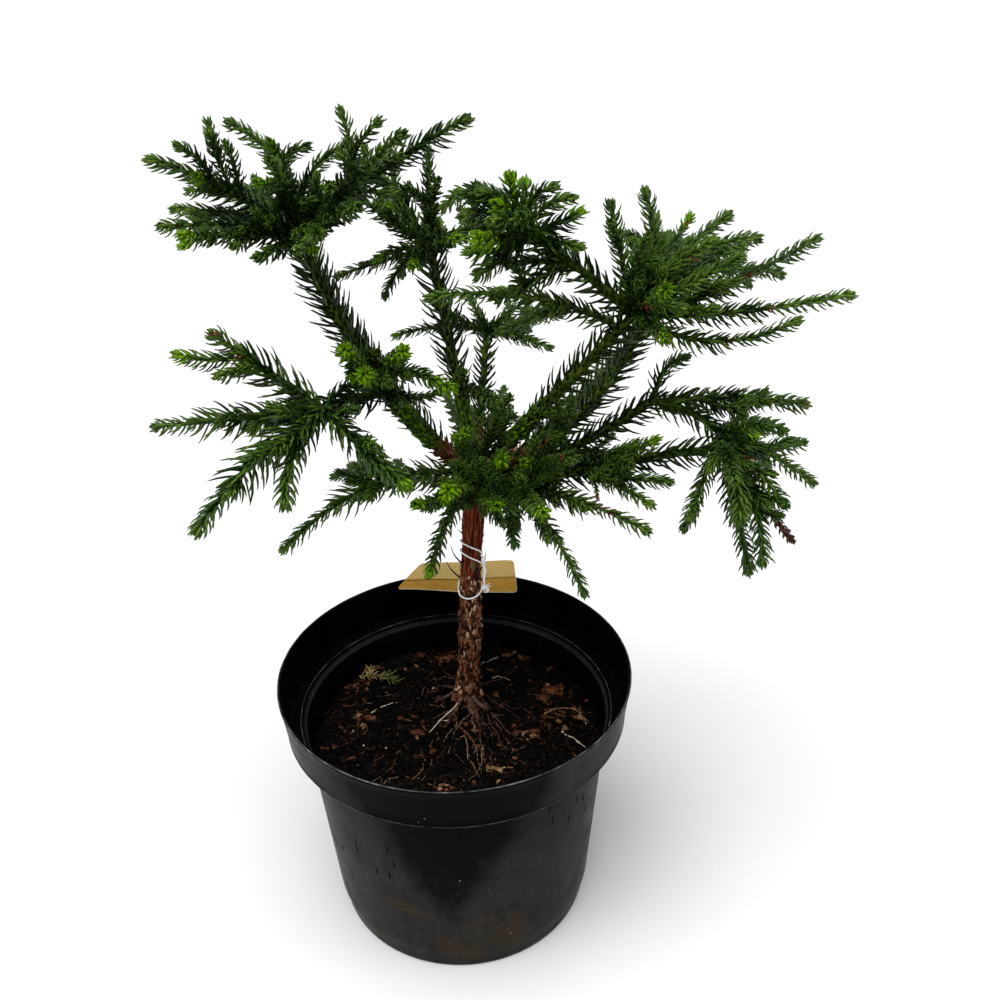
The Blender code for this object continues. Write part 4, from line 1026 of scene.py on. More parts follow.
# dead twig stubs
for angle, z, heading, rise, long, thick in ((-152, 0.2712, 190, 62, 20, 0.75), (-165, 0.2585, 185, 55, 19, 0.8), (-12, 0.2640, 20, 70, 17, 0.6),
                                             (-170, 0.2960, 200, 50, 7, 0.6), (-5, 0.2560, 0, 42, 8, 0.9), (-158, 0.3060, 215, 60, 6, 0.6),
                                             (100, 0.2780, 95, 55, 14, 0.7), (60, 0.2600, 60, 40, 11, 0.8)):
    foot = on_trunk(math.radians(angle), z, -0.001)
    limb = Limb(foot, unit(heading, rise) * long * MM, -9, rng.uniform(-6, 6))
    ts = np.linspace(0, 1, 14)
    STUBS.add(*sweep(limb.at(ts), thick * MM * (1.25 - 1.0 * ts ** 0.8), 7))
STUBS.piece("dead_twigs", flake_mat("dead_twig", (0.012, 0.006, 0.005), (0.045, 0.022, 0.015), (0.13, 0.075, 0.05)), "bark")

BOUGH_BARK = bark_mat("bark_bough",
                      [(0.3, (0.018, 0.006, 0.004)), (0.5, (0.070, 0.020, 0.011)), (0.75, (0.15, 0.065, 0.035))],
                      [(0.3, (0.018, 0.034, 0.0025)), (0.5, (0.050, 0.078, 0.006)), (0.75, (0.095, 0.115, 0.014))], 0.362, 0.374)
GREEN_BARK = bark_mat("bark_bough_green",
                      [(0.3, (0.010, 0.022, 0.002)), (0.5, (0.030, 0.052, 0.005)), (0.75, (0.065, 0.078, 0.012))],
                      [(0.3, (0.010, 0.022, 0.002)), (0.5, (0.030, 0.052, 0.005)), (0.75, (0.065, 0.078, 0.012))], 0.376, 0.396)
for name, limb in LIMBS.items():
    _, _, _, _, r0, r1 = BOUGHS[name]
    n = max(16, int(limb.long / MM / 2.2))
    ts = np.linspace(0, 1, n)
    # needle bases make a bough's skin ribbed
    rel = np.array([[1 + 0.07 * math.sin(j * 2.4 + s * limb.long / MM * 1.7) + 0.10 * noise.noise(
        Vector((math.cos(2 * math.pi * j / 12) * 2, math.sin(2 * math.pi * j / 12) * 2, s * 30)))
        for j in range(12)] for s in ts])
    one = Sheaf()
    one.add(*sweep(limb.at(ts * 0.985), (r0 + (r1 - r0) * ts) * MM * 0.92, 12, relief=rel))
    one.piece("bark_" + name, BOUGH_BARK if name in SHEATHED else GREEN_BARK, "bark", ["bough_" + name])

def plain_mat(name, stops, scale, rough=0.8, stretch=(1, 1, 1), detail=4.0, bump_h=0.0003, spec=0.05):
    mat, tree, bsdf = new_mat(name)
    tree.links.new(ramp(tree, noise_node(tree, place_coords(tree, stretch), scale, detail, 0.62), stops), bsdf.inputs["Base Color"])
    bsdf.inputs["Roughness"].default_value = rough
    bsdf.inputs["IOR"].default_value = 1.2
    bsdf.inputs["Specular IOR Level"].default_value = spec * 5
    if bump_h:
        bump(tree, noise_node(tree, place_coords(tree, stretch), scale * 2.2, 3.0), 0.6, bump_h, bsdf)
    return mat


# ------------------------------------------------------------------ pot
mat_pot, tree, bsdf = new_mat("pot_plastic")
v = place_coords(tree)
tc = tree.nodes.new("ShaderNodeTexCoord")
sep = tree.nodes.new("ShaderNodeSeparateXYZ")
tree.links.new(tc.outputs["Object"], sep.inputs[0])
low = tree.nodes.new("ShaderNodeMapRange")      # 1 at the foot, 0 under the collar
for key, val in (("From Min", 0.125), ("From Max", 0.030), ("To Min", 0.0), ("To Max", 1.0)):
    low.inputs[key].default_value = val
tree.links.new(sep.outputs["Z"], low.inputs["Value"])


def times(a, b):
    n = tree.nodes.new("ShaderNodeMath")
    n.operation = "MULTIPLY"
    for sock, val in ((n.inputs[0], a), (n.inputs[1], b)):
        if hasattr(val, "links"):
            tree.links.new(val, sock)
        else:
            sock.default_value = val
    return n.outputs[0]




def plus(a, b, operation="ADD"):
    n = tree.nodes.new("ShaderNodeMath")
    n.operation = operation
    for sock, val in ((n.inputs[0], a), (n.inputs[1], b)):
        if hasattr(val, "links"):
            tree.links.new(val, sock)
        else:
            sock.default_value = val
    return n.outputs[0]


def patch(x, z, rx, rz, ragged=0.9):
    """A stain on the front of the wall, ragged at its edge."""
    u = plus(times(plus(sep.outputs["X"], -x), 1 / rx), 2.0, "POWER")
    w = plus(times(plus(sep.outputs["Z"], -z), 1 / rz), 2.0, "POWER")
    d = plus(plus(u, w), times(plus(cloud, -0.5), 5.0 * ragged))
    front = plus(sep.outputs["Y"], -0.02, "LESS_THAN")
    return times(ramp(tree, d, [(0.25, (1, 1, 1)), (1.0, (0, 0, 0))]), front)


cloud = noise_node(tree, v, 120.0, 5.0, 0.7)
broad = noise_node(tree, v, 24.0, 5.0, 0.6)
# lighter on both flanks and behind, partly dust and partly a painted reflection of the pale floor; a wedge down the
# front is left black as a painted dark reflection
off_wedge = plus(plus(sep.outputs["X"], 0.004), 0.0, "ABSOLUTE")
half = times(plus(sep.outputs["Z"], -0.074), 0.52)
edge = plus(plus(off_wedge, times(half, -1.0)), times(plus(broad, -0.5), 0.040))
behind = plus(sep.outputs["Y"], 0.0, "GREATER_THAN")
dust_and_painted_reflection = ramp(tree, plus(times(edge, 48.0), times(behind, 6.0)), [(0.0, (0, 0, 0)), (0.90, (1, 1, 1))])


def line_of(z0, r0, z1, r1):
    n = tree.nodes.new("ShaderNodeMapRange")
    for key, val in (("From Min", z0), ("From Max", z1), ("To Min", r0), ("To Max", r1)):
        n.inputs[key].default_value = val
    tree.links.new(sep.outputs["Z"], n.inputs["Value"])
    return n.outputs["Result"]


body_line = line_of(FOOT_HEIGHT, FOOT_TOP_RADIUS, POT_HEIGHT - COLLAR_HEIGHT, BODY_TOP_RADIUS)
collar_line = line_of(POT_HEIGHT - COLLAR_HEIGHT, COLLAR_LOW_RADIUS, POT_HEIGHT, RIM_RADIUS)
on_collar = plus(sep.outputs["Z"], POT_HEIGHT - COLLAR_HEIGHT - 0.0006, "GREATER_THAN")
wall_line = plus(body_line, times(on_collar, plus(collar_line, times(body_line, -1.0))))
radius = plus(plus(times(sep.outputs["X"], sep.outputs["X"]), times(sep.outputs["Y"], sep.outputs["Y"])), 0.5, "POWER")
outside = plus(plus(radius, times(wall_line, -1.0)), -0.0010, "GREATER_THAN")
outside = plus(outside, plus(sep.outputs["Z"], FOOT_HEIGHT, "LESS_THAN"), "MAXIMUM")
dust_and_painted_reflection = times(dust_and_painted_reflection, outside)
dust_and_reflection_film = ramp(tree, broad, [(0.30, (0.55, 0.55, 0.55)), (0.66, (1, 1, 1))])
# the grey mixed in here is partly dust and partly painted reflection
colour = mix_rgb(tree, times(dust_and_reflection_film, dust_and_painted_reflection), (0.0009, 0.0011, 0.0013), (0.0158, 0.0169, 0.0161))
smear = ramp(tree, noise_node(tree, place_coords(tree, (1, 1, 0.22)), 70.0, 5.0, 0.7), [(0.50, (0, 0, 0)), (0.78, (1, 1, 1))])
colour = mix_rgb(tree, times(times(smear, dust_and_painted_reflection), 0.45), colour, (0.036, 0.037, 0.034))
colour = mix_rgb(tree, times(times(smear, plus(1.0, outside, "SUBTRACT")), 0.16), colour, (0.020, 0.022, 0.018))
dirt = ramp(tree, noise_node(tree, v, 34.0, 5.0, 0.72), [(0.52, (0, 0, 0)), (0.68, (1, 1, 1))])
colour = mix_rgb(tree, times(times(dirt, low.outputs["Result"]), 0.60), colour, (0.030, 0.021, 0.011))
for x, z, rx, rz, much in ((-0.041, 0.064, 0.012, 0.007, .85), (-0.030, 0.058, 0.012, 0.006, .85), (-0.006, 0.026, 0.014, 0.014, .80),
                           (0.010, 0.018, 0.010, 0.014, .7), (0.034, 0.030, 0.017, 0.016, .85), (0.040, 0.046, 0.008, 0.014, .7),
                           (0.016, 0.052, 0.013, 0.009, .55), (-0.088, 0.075, 0.006, 0.022, .7), (-0.050, 0.018, 0.020, 0.006, .5)):
    colour = mix_rgb(tree, times(patch(x, z, rx, rz), 0.72 * much), colour, (0.031, 0.0205, 0.0115))
grit = ramp(tree, noise_node(tree, v, 620.0, 2.0, 0.6), [(0.61, (0, 0, 0)), (0.68, (1, 1, 1))])
colour = mix_rgb(tree, times(times(grit, low.outputs["Result"]), 0.60), colour, (0.085, 0.055, 0.030))
tree.links.new(colour, bsdf.inputs["Base Color"])
rough = ramp(tree, noise_node(tree, v, 55.0, 6.0, 0.65), [(0.30, (0.26, 0.26, 0.26)), (0.72, (0.46, 0.46, 0.46))])
tree.links.new(rough, bsdf.inputs["Roughness"])
bump(tree, noise_node(tree, place_coords(tree, (1, 1, 0.5)), 26.0, 4.0), 0.16, 0.004, bsdf)
bsdf.inputs["IOR"].default_value = 1.08
bsdf.inputs["Specular IOR Level"].default_value = 0.5


def arc(cx, cz, r, a0, a1, n):
    return [(cx + r * math.cos(math.radians(a0 + (a1 - a0) * k / n)), cz + r * math.sin(math.radians(a0 + (a1 - a0) * k / n)))
            for k in range(n + 1)]


collar_low = POT_HEIGHT - COLLAR_HEIGHT
profile = [(0.0, 0.0), (BASE_RADIUS - 0.012, 0.0)]
profile += arc(BASE_RADIUS - 0.0022, 0.0022, 0.0022, -90, -8, 5)
profile += [(BASE_RADIUS + 0.0006, 0.006), (BASE_RADIUS + 0.0020, 0.013), (FOOT_TOP_RADIUS - 0.0003, FOOT_HEIGHT - 0.0012),
            (FOOT_TOP_RADIUS + 0.0001, FOOT_HEIGHT + 0.001)]
for k in range(1, 9):
    f = k / 9
    profile.append((FOOT_TOP_RADIUS + (BODY_TOP_RADIUS - FOOT_TOP_RADIUS) * f, FOOT_HEIGHT + (collar_low - FOOT_HEIGHT) * f))
profile += [(BODY_TOP_RADIUS - 0.0002, collar_low - 0.0012), (BODY_TOP_RADIUS + 0.0008, collar_low - 0.0001)]
profile += [(COLLAR_LOW_RADIUS - 0.0010, collar_low - 0.0001)]
profile += arc(COLLAR_LOW_RADIUS - 0.0004, collar_low + 0.0007, 0.0008, -90, 20, 5)
profile += [(COLLAR_LOW_RADIUS + 0.0002, collar_low + 0.0022)]
for k in range(1, 5):
    f = k / 5
    profile.append((COLLAR_LOW_RADIUS + 0.0002 + (RIM_RADIUS - 0.0008 - COLLAR_LOW_RADIUS) * f,
                    collar_low + 0.0022 + (COLLAR_HEIGHT - 0.0045) * f))
profile += [(RIM_RADIUS - 0.0005, POT_HEIGHT - 0.0026)]
profile += arc(RIM_RADIUS - 0.0011, POT_HEIGHT - 0.0011, 0.0011, -10, 90, 6)
profile += arc(RIM_RADIUS - LIP + 0.0004, POT_HEIGHT - 0.0008, 0.0008, 90, 190, 5)
profile += [(RIM_RADIUS - LIP - 0.0006, POT_HEIGHT - 0.004), (COLLAR_LOW_RADIUS - WALL + 0.0003, collar_low + WALL + 0.0022)]
profile += arc(COLLAR_LOW_RADIUS - WALL - 0.0008, collar_low + WALL + 0.0010, 0.0010, 10, -90, 4)
profile += [(BODY_TOP_RADIUS - WALL + 0.0050, collar_low + WALL)]
profile += arc(BODY_TOP_RADIUS - WALL + 0.0046, collar_low + WALL - 0.0012, 0.0012, 90, 175, 3)
profile += [(BODY_TOP_RADIUS - WALL + 0.0030, collar_low - 0.0022), (BODY_TOP_RADIUS - WALL + 0.0008, collar_low - 0.0026)]
profile += [(BODY_TOP_RADIUS - WALL - 0.0002, collar_low - 0.0042)]
for f in (0.85, 0.6, 0.3):
    profile.append((FOOT_TOP_RADIUS + (BODY_TOP_RADIUS - FOOT_TOP_RADIUS) * f - WALL, FOOT_HEIGHT + (collar_low - FOOT_HEIGHT) * f))
profile += [(FOOT_TOP_RADIUS - WALL, FOOT_HEIGHT), (BASE_RADIUS - WALL, FLOOR + 0.001), (BASE_RADIUS - WALL - 0.002, FLOOR), (0.0, FLOOR)]
POT_SIDES = 180
ring = 2 * math.pi * np.arange(POT_SIDES) / POT_SIDES
body = profile[1:-1]
verts = np.concatenate([np.stack([r * np.cos(ring), r * np.sin(ring), np.full(POT_SIDES, z)], 1) for r, z in body]
                       + [np.array([(0, 0, profile[0][1])]), np.array([(0, 0, profile[-1][1])])])
k = np.arange(POT_SIDES)
k2 = (k + 1) % POT_SIDES
quads = np.concatenate([np.stack([i * POT_SIDES + k, i * POT_SIDES + k2, (i + 1) * POT_SIDES + k2, (i + 1) * POT_SIDES + k], 1)
                        for i in range(len(body) - 1)])
m = len(body) * POT_SIDES
tris = np.concatenate([np.stack([k2, k, np.full(POT_SIDES, m)], 1),
                       np.stack([(len(body) - 1) * POT_SIDES + k, (len(body) - 1) * POT_SIDES + k2, np.full(POT_SIDES, m + 1)], 1)])
one = Sheaf()
one.add(verts, quads, tris)
one.piece("pot_shell", mat_pot, "pot", ["pot"], angle=50)

# ------------------------------------------------------------------ water marks and dirt on the pot


def body_outer(z):
    if z > collar_low:
        return COLLAR_LOW_RADIUS + (RIM_RADIUS - COLLAR_LOW_RADIUS) * (z - collar_low) / COLLAR_HEIGHT
    if z > FOOT_HEIGHT:
        return FOOT_TOP_RADIUS + (BODY_TOP_RADIUS - FOOT_TOP_RADIUS) * (z - FOOT_HEIGHT) / (collar_low - FOOT_HEIGHT)
    return BASE_RADIUS + (FOOT_TOP_RADIUS - BASE_RADIUS) * z / FOOT_HEIGHT


def on_pot(angle, z, off):
    r = body_outer(z) + off
    return np.array((r * math.cos(angle), r * math.sin(angle), z))


def bead(sheaf, angle, z, tall, wide, thick, nu=8, nv=10):
    """A run of water dried on the wall: heavy at its foot, thin above."""
    rows = []
    for j in range(nv + 1):
        q = j / nv
        w = wide * math.sin(math.pi * min(1.0, q * 1.0)) ** 0.6 * (1.0 - 0.55 * q) + 0.00005
        for i in range(nu + 1):
            u = 2 * i / nu - 1
            rows.append(on_pot(angle + u * w / 2 / 0.11, z - tall / 2 + q * tall, thick * (1 - u * u) * (1 - 0.5 * q) * math.sin(math.pi * q) ** 0.5 - 0.00005))
    w1 = nu + 1
    quads = [(j * w1 + i, j * w1 + i + 1, (j + 1) * w1 + i + 1, (j + 1) * w1 + i) for j in range(nv) for i in range(nu)]
    sheaf.add(np.array(rows), quads)


drips, grit_bits, pale_bits = Sheaf(), Sheaf(), Sheaf()
for a, z in ((-132, 111), (-132, 103), (-144, 88), (-116, 122), (-108, 135), (-114, 108), (-123, 92), (-117, 94), (-54, 149),
             (-52, 135), (-43, 124), (-39, 137), (-34, 131), (-31, 115), (-26, 115)):
    bead(drips, math.radians(a), z * MM, rng.uniform(5.5, 10.5) * MM, rng.uniform(1.9, 2.9) * MM, 0.45 * MM)
for _ in range(34):
    a = rng.uniform(-170, -10) if rng.uniform() < 0.6 else rng.uniform(0, 190)
    bead(drips, math.radians(a), rng.uniform(95, 160) * MM, rng.uniform(1.5, 5.0) * MM, rng.uniform(0.6, 1.3) * MM, 0.3 * MM)


def crumb(sheaf, angle, z, size):
    v = LUMP_V * rng.uniform(0.6, 1.3, (12, 1)) * size * np.array((1, 1, 0.8))
    sheaf.add(v + on_pot(angle, z, size * 0.25), (), LUMP_F)


for a, z, spread, n in ((-112, 62, 9, 90), (-148, 52, 8, 50), (-93, 24, 9, 150), (-71, 26, 9, 90), (-68, 41, 7, 90), (-84, 50, 12, 70),
                        (-100, 38, 14, 60), (-55, 30, 9, 40), (-128, 30, 10, 40), (60, 30, 24, 90), (130, 40, 20, 70), (10, 34, 16, 60)):
    for _ in range(n):
        crumb(grit_bits, math.radians(a + rng.normal(0, spread)), max(3.0, z + rng.normal(0, spread)) * MM,
              abs(rng.normal(0.18, 0.12)) * MM + 0.05 * MM)
for a, z, size in ((-89, 100, .45), (-84, 72, .3), (-82, 49, .25), (-69, 32, .45), (-100, 172, .35), (-98, 176, .3), (-86, 76, .22), (-77, 80, .25)):
    crumb(pale_bits, math.radians(a), z * MM, size * MM)
for _ in range(45):
    crumb(pale_bits, rng.uniform(0, 6.28), rng.uniform(12, 85) * MM, rng.uniform(0.07, 0.17) * MM)
mat_mark = flake_mat("water_mark", (0.0006, 0.0006, 0.0006), (0.0009, 0.0009, 0.0009), (0.0014, 0.0014, 0.0014), 0.3)
mat_mark.node_tree.nodes["Principled BSDF"].inputs["IOR"].default_value = 1.06
drips.piece("water_marks", mat_mark, "pot")
# the moulded edges are scuffed paler; the ring along the rim is also a painted highlight on the rim's front edge
scuff_and_highlight_rings = Sheaf()
for radius, z, thick in ((COLLAR_LOW_RADIUS + 0.00025, collar_low + 0.0002, 0.00019), (RIM_RADIUS - 0.0006, POT_HEIGHT - 0.00012, 0.00046),
                         (BODY_TOP_RADIUS - WALL + 0.0040, collar_low + WALL - 0.0001, 0.00022)):
    b = np.linspace(0, 2 * math.pi, 241)
    lift = np.array([0.00010 * noise.noise(Vector((math.cos(q) * 9, math.sin(q) * 9, z * 90))) for q in b])
    scuff_and_highlight_rings.add(*sweep(np.stack([(radius + lift) * np.cos(b), (radius + lift) * np.sin(b), np.full(241, z)], 1), np.full(241, thick), 6))
scuff_and_highlight_rings.piece("scuff_and_highlight_edges", plain_mat("scuff_and_highlight_plastic", [(0.32, (0.006, 0.006, 0.006)), (0.50, (0.046, 0.047, 0.046)), (0.68, (0.150, 0.150, 0.147))], 90), "pot")
grit_bits.piece("pot_grit", flake_mat("grit", (0.020, 0.010, 0.005), (0.060, 0.032, 0.015), (0.14, 0.085, 0.045)), "compost")
pale_bits.piece("pot_specks", flake_mat("speck", (0.12, 0.10, 0.08), (0.28, 0.25, 0.21), (0.5, 0.47, 0.42)), "compost")

# ------------------------------------------------------------------ compost
mat_soil, tree, bsdf = new_mat("compost_mat")
v = place_coords(tree)
tree.links.new(ramp(tree, noise_node(tree, v, 260.0, 6.0, 0.7), [(0.34, (0.0003, 0.0002, 0.0002)), (0.52, (0.0011, 0.0007, 0.0005)),
                                                              (0.66, (0.0050, 0.0024, 0.0013)), (0.82, (0.026, 0.011, 0.005))]),
               bsdf.inputs["Base Color"])
bsdf.inputs["Roughness"].default_value = 0.6
bsdf.inputs["IOR"].default_value = 1.15
bsdf.inputs["Specular IOR Level"].default_value = 0.3
bump(tree, noise_node(tree, v, 700.0, 5.0, 0.7), 0.8, 0.0006, bsdf)


def soil_level(x, y):
    r = math.hypot(x, y)
    if r < SOIL_FLAT:
        z = SOIL_CROWN
    else:
        z = SOIL_CROWN + (SOIL_EDGE - SOIL_CROWN) * min(1.0, (r - SOIL_FLAT) / (0.107 - SOIL_FLAT)) ** 1.3
    near = math.hypot(x - TRUNK_FOOT[0], y - TRUNK_FOOT[1])
    calm = min(1.0, max(0.25, (near - 0.010) / 0.02))
    z += 0.0030 * noise.fractal(Vector((x * 45, y * 45, 1.3)), 0.9, 2.0, 3) * calm
    z += 0.0016 * abs(noise.noise(Vector((x * 190, y * 190, 4.1))))
    z += 0.0011 * noise.noise(Vector((x * 520, y * 520, 7.7)))
    return z - 0.0006


def body_inner_radius(z):
    f = (z - FOOT_HEIGHT) / (collar_low - FOOT_HEIGHT)
    return FOOT_TOP_RADIUS + (BODY_TOP_RADIUS - FOOT_TOP_RADIUS) * f - WALL


RINGS, SPOKES = 96, 300
R_OUT = body_inner_radius(SOIL_EDGE) - 0.0004
verts = [(0.0, 0.0, soil_level(0.0, 0.0))]
for i in range(1, RINGS + 1):
    r = R_OUT * i / RINGS
    for j in range(SPOKES):
        a = 2 * math.pi * (j + 0.5 * (i % 2)) / SPOKES
        x, y = r * math.cos(a), r * math.sin(a)
        verts.append((x, y, soil_level(x, y)))
for z in (0.130, FOOT_HEIGHT, FLOOR + 0.0012):
    r = body_inner_radius(max(z, FOOT_HEIGHT)) - 0.0006
    if z < FOOT_HEIGHT:
        r = BASE_RADIUS - WALL - 0.0030
    for j in range(SPOKES):
        a = 2 * math.pi * j / SPOKES
        verts.append((r * math.cos(a), r * math.sin(a), z))
verts.append((0.0, 0.0, FLOOR + 0.0012))
quads = [(1 + i * SPOKES + j, 1 + i * SPOKES + (j + 1) % SPOKES, 1 + (i + 1) * SPOKES + (j + 1) % SPOKES, 1 + (i + 1) * SPOKES + j)
         for i in range(RINGS + 2) for j in range(SPOKES)]
quads = [q[::-1] for q in quads]
last = 1 + (RINGS + 2) * SPOKES
tris = [(0, 1 + j, 1 + (j + 1) % SPOKES) for j in range(SPOKES)]
tris += [(last + (j + 1) % SPOKES, last + j, len(verts) - 1)[::-1] for j in range(SPOKES)]
one = Sheaf()
one.add(verts, quads, tris)
soil = one.piece("compost", mat_soil, "compost", ["soil"])

def turn_matrix(heading, pitch, roll):
    return np.array(Matrix.Rotation(heading, 3, "Z") @ Matrix.Rotation(pitch, 3, "Y") @ Matrix.Rotation(roll, 3, "X"))


def add_lump(sheaf, x, y, size, squash=0.6, lift=0.2, z=None):
    v = LUMP_V * rng.uniform(0.72, 1.25, (12, 1)) * np.array((1.0, rng.uniform(0.6, 0.95), squash)) * size
    v = v @ turn_matrix(rng.uniform(0, 6.28), rng.normal(0, 0.35), rng.normal(0, 0.35)).T
    z = soil_level(x, y) if z is None else z
    sheaf.add(v + np.array((x, y, z + size * lift)), (), LUMP_F)


def add_chip(sheaf, x, y, long, wide, thick, heading, pitch=0.0, roll=0.0, lift=0.0, bend=0.1):
    """A split flake of bark: ragged outline, fibres along it, a little bent."""
    n = 14
    top, low = [], []
    for k in range(n):
        a = 2 * math.pi * k / n
        ex, ey = math.cos(a), math.sin(a)
        sq = 1.0 / max(abs(ex), abs(ey)) ** 0.55
        f = sq * rng.uniform(0.62, 1.10)
        px, py = ex * f * long / 2, ey * f * wide / 2
        h = -bend * (2 * px / long) ** 2 * long / 2 + rng.uniform(-0.06, 0.06) * wide
        top.append((px * 0.93, py * 0.90, h + thick / 2))
        low.append((px, py, h - thick / 2))
    rise = [(0, 0, thick * 0.62 + rng.uniform(-.1, .2) * thick), (0, 0, -thick * 0.5)]
    v = np.array(top + low + rise)
    k = np.arange(n)
    k2 = (k + 1) % n
    quads = np.stack([n + k, n + k2, k2, k], 1)
    tris = np.concatenate([np.stack([k, k2, np.full(n, 2 * n)], 1), np.stack([n + k2, n + k, np.full(n, 2 * n + 1)], 1)])
    v = v @ turn_matrix(math.radians(heading), math.radians(pitch), math.radians(roll)).T
    sheaf.add(v + np.array((x, y, soil_level(x, y) + thick * 0.5 + lift)), quads, tris)


def add_stick(sheaf, x, y, long, thick, heading, pitch=0.0, lift=0.0, bend=0.1):
    d = unit(heading, pitch)
    limb = Limb(np.array((x, y, soil_level(x, y) + thick * 0.6 + lift)) - d * long / 2, d * long, bend * 40 * rng.uniform(-.3, 1),
                bend * 100 * rng.uniform(-1, 1))
    ts = np.linspace(0, 1, 5)
    sheaf.add(*sweep(limb.at(ts), thick * np.array((0.35, 0.5, 0.5, 0.45, 0.22)) * rng.uniform(0.8, 1.2), 5,
                     flat=rng.uniform(0.5, 1.0)))


def in_soil(spread=0.105):
    while True:
        x, y = rng.uniform(-spread, spread, 2)
        if math.hypot(x, y) < spread and math.hypot(x - TRUNK_FOOT[0], y - TRUNK_FOOT[1]) > 0.014:
            return x, y


M_DARK = plain_mat("chip_dark", [(0.40, (0.0003, 0.0002, 0.0002)), (0.58, (0.0013, 0.0008, 0.0005)), (0.76, (0.012, 0.0060, 0.0036))], 380)
M_BROWN = plain_mat("chip_brown", [(0.40, (0.0010, 0.0005, 0.0004)), (0.58, (0.0066, 0.0030, 0.0017)), (0.76, (0.055, 0.027, 0.016))], 380)
M_RED = plain_mat("chip_red", [(0.36, (0.007, 0.0022, 0.0011)), (0.52, (0.050, 0.016, 0.0070)), (0.70, (0.17, 0.072, 0.033))], 380)
M_TAN = plain_mat("chip_tan", [(0.34, (0.035, 0.016, 0.007)), (0.54, (0.13, 0.068, 0.033)), (0.70, (0.34, 0.21, 0.12))], 340)
M_PALE = plain_mat("fibre_pale", [(0.3, (0.075, 0.045, 0.027)), (0.6, (0.17, 0.115, 0.072)), (0.85, (0.38, 0.29, 0.20))], 200, 0.7)
M_WHITE = plain_mat("root_pale", [(0.3, (0.26, 0.20, 0.14)), (0.7, (0.62, 0.55, 0.46))], 160, 0.6)

dark, brown_bits, red, tan, pale, white = (Sheaf() for _ in range(6))
for _ in range(900):
    x, y = in_soil(0.106)
    add_lump(dark, x, y, rng.uniform(0.6, 2.0) * MM * (1 if rng.uniform() < .9 else 1.6), 0.5)
for _ in range(150):
    x, y = in_soil(0.104)
    add_lump(brown_bits, x, y, rng.uniform(0.5, 1.3) * MM)
for sheaf, n, longest, thickest in ((dark, 2100, 13, 1.5), (brown_bits, 1250, 12, 1.1), (red, 300, 9, 0.8), (tan, 85, 8, 0.7)):
    for _ in range(n):
        x, y = in_soil(0.105)
        add_stick(sheaf, x, y, rng.uniform(2.5, longest) * MM, rng.uniform(0.4, thickest) * MM, rng.uniform(0, 360),
                  rng.normal(0, 17), abs(rng.normal(0, 0.9)) * MM)
for sheaf, n in ((dark, 230), (brown_bits, 170), (red, 42)):
    for _ in range(n):
        x, y = in_soil(0.101)
        add_chip(sheaf, x, y, rng.uniform(4, 12) * MM, rng.uniform(2.2, 5.5) * MM, rng.uniform(0.7, 1.7) * MM, rng.uniform(0, 360),
                 rng.normal(0, 16), rng.normal(0, 16), abs(rng.normal(0, 0.6)) * MM)
# coarse bark lies in heaps: (x, y, radius, pieces, share of bright chips), mm
for hx, hy, hr, n, share in ((-68, 76, 17, 46, .55), (-80, 52, 12, 22, .5), (-12, 80, 13, 24, .5), (74, 33, 20, 60, .30), (72, 4, 14, 24, .5),
                             (-72, 8, 12, 22, .4), (-30, -6, 13, 18, .3), (-45, 83, 14, 24, .3), (56, 62, 18, 26, .2), (50, -18, 12, 16, .4),
                             (30, -50, 12, 14, .4), (-8, -70, 10, 12, .4), (45, 84, 12, 14, .3), (88, 8, 10, 12, .5)):
    for _ in range(n):
        q = rng.normal(0, 0.5, 2) * hr
        x, y = (hx + q[0]) * MM, (hy + q[1]) * MM
        if math.hypot(x, y) > 0.103 or math.hypot(x - TRUNK_FOOT[0], y - TRUNK_FOOT[1]) < 0.015:
            continue
        high = max(0.0, 1 - math.hypot(*q) / hr) * 3.2 * MM
        sheaf = (red if rng.uniform() < .7 else tan) if rng.uniform() < share else brown_bits
        if rng.uniform() < 0.62:
            add_chip(sheaf, x, y, rng.uniform(4, 13) * MM, rng.uniform(2, 6) * MM, rng.uniform(0.7, 1.8) * MM, rng.uniform(0, 360),
                     rng.normal(0, 18), rng.normal(0, 18), high * rng.uniform(0.2, 1))
        else:
            add_stick(sheaf, x, y, rng.uniform(4, 14) * MM, rng.uniform(0.6, 1.6) * MM, rng.uniform(0, 360), rng.normal(0, 18),
                      high * rng.uniform(0.2, 1))
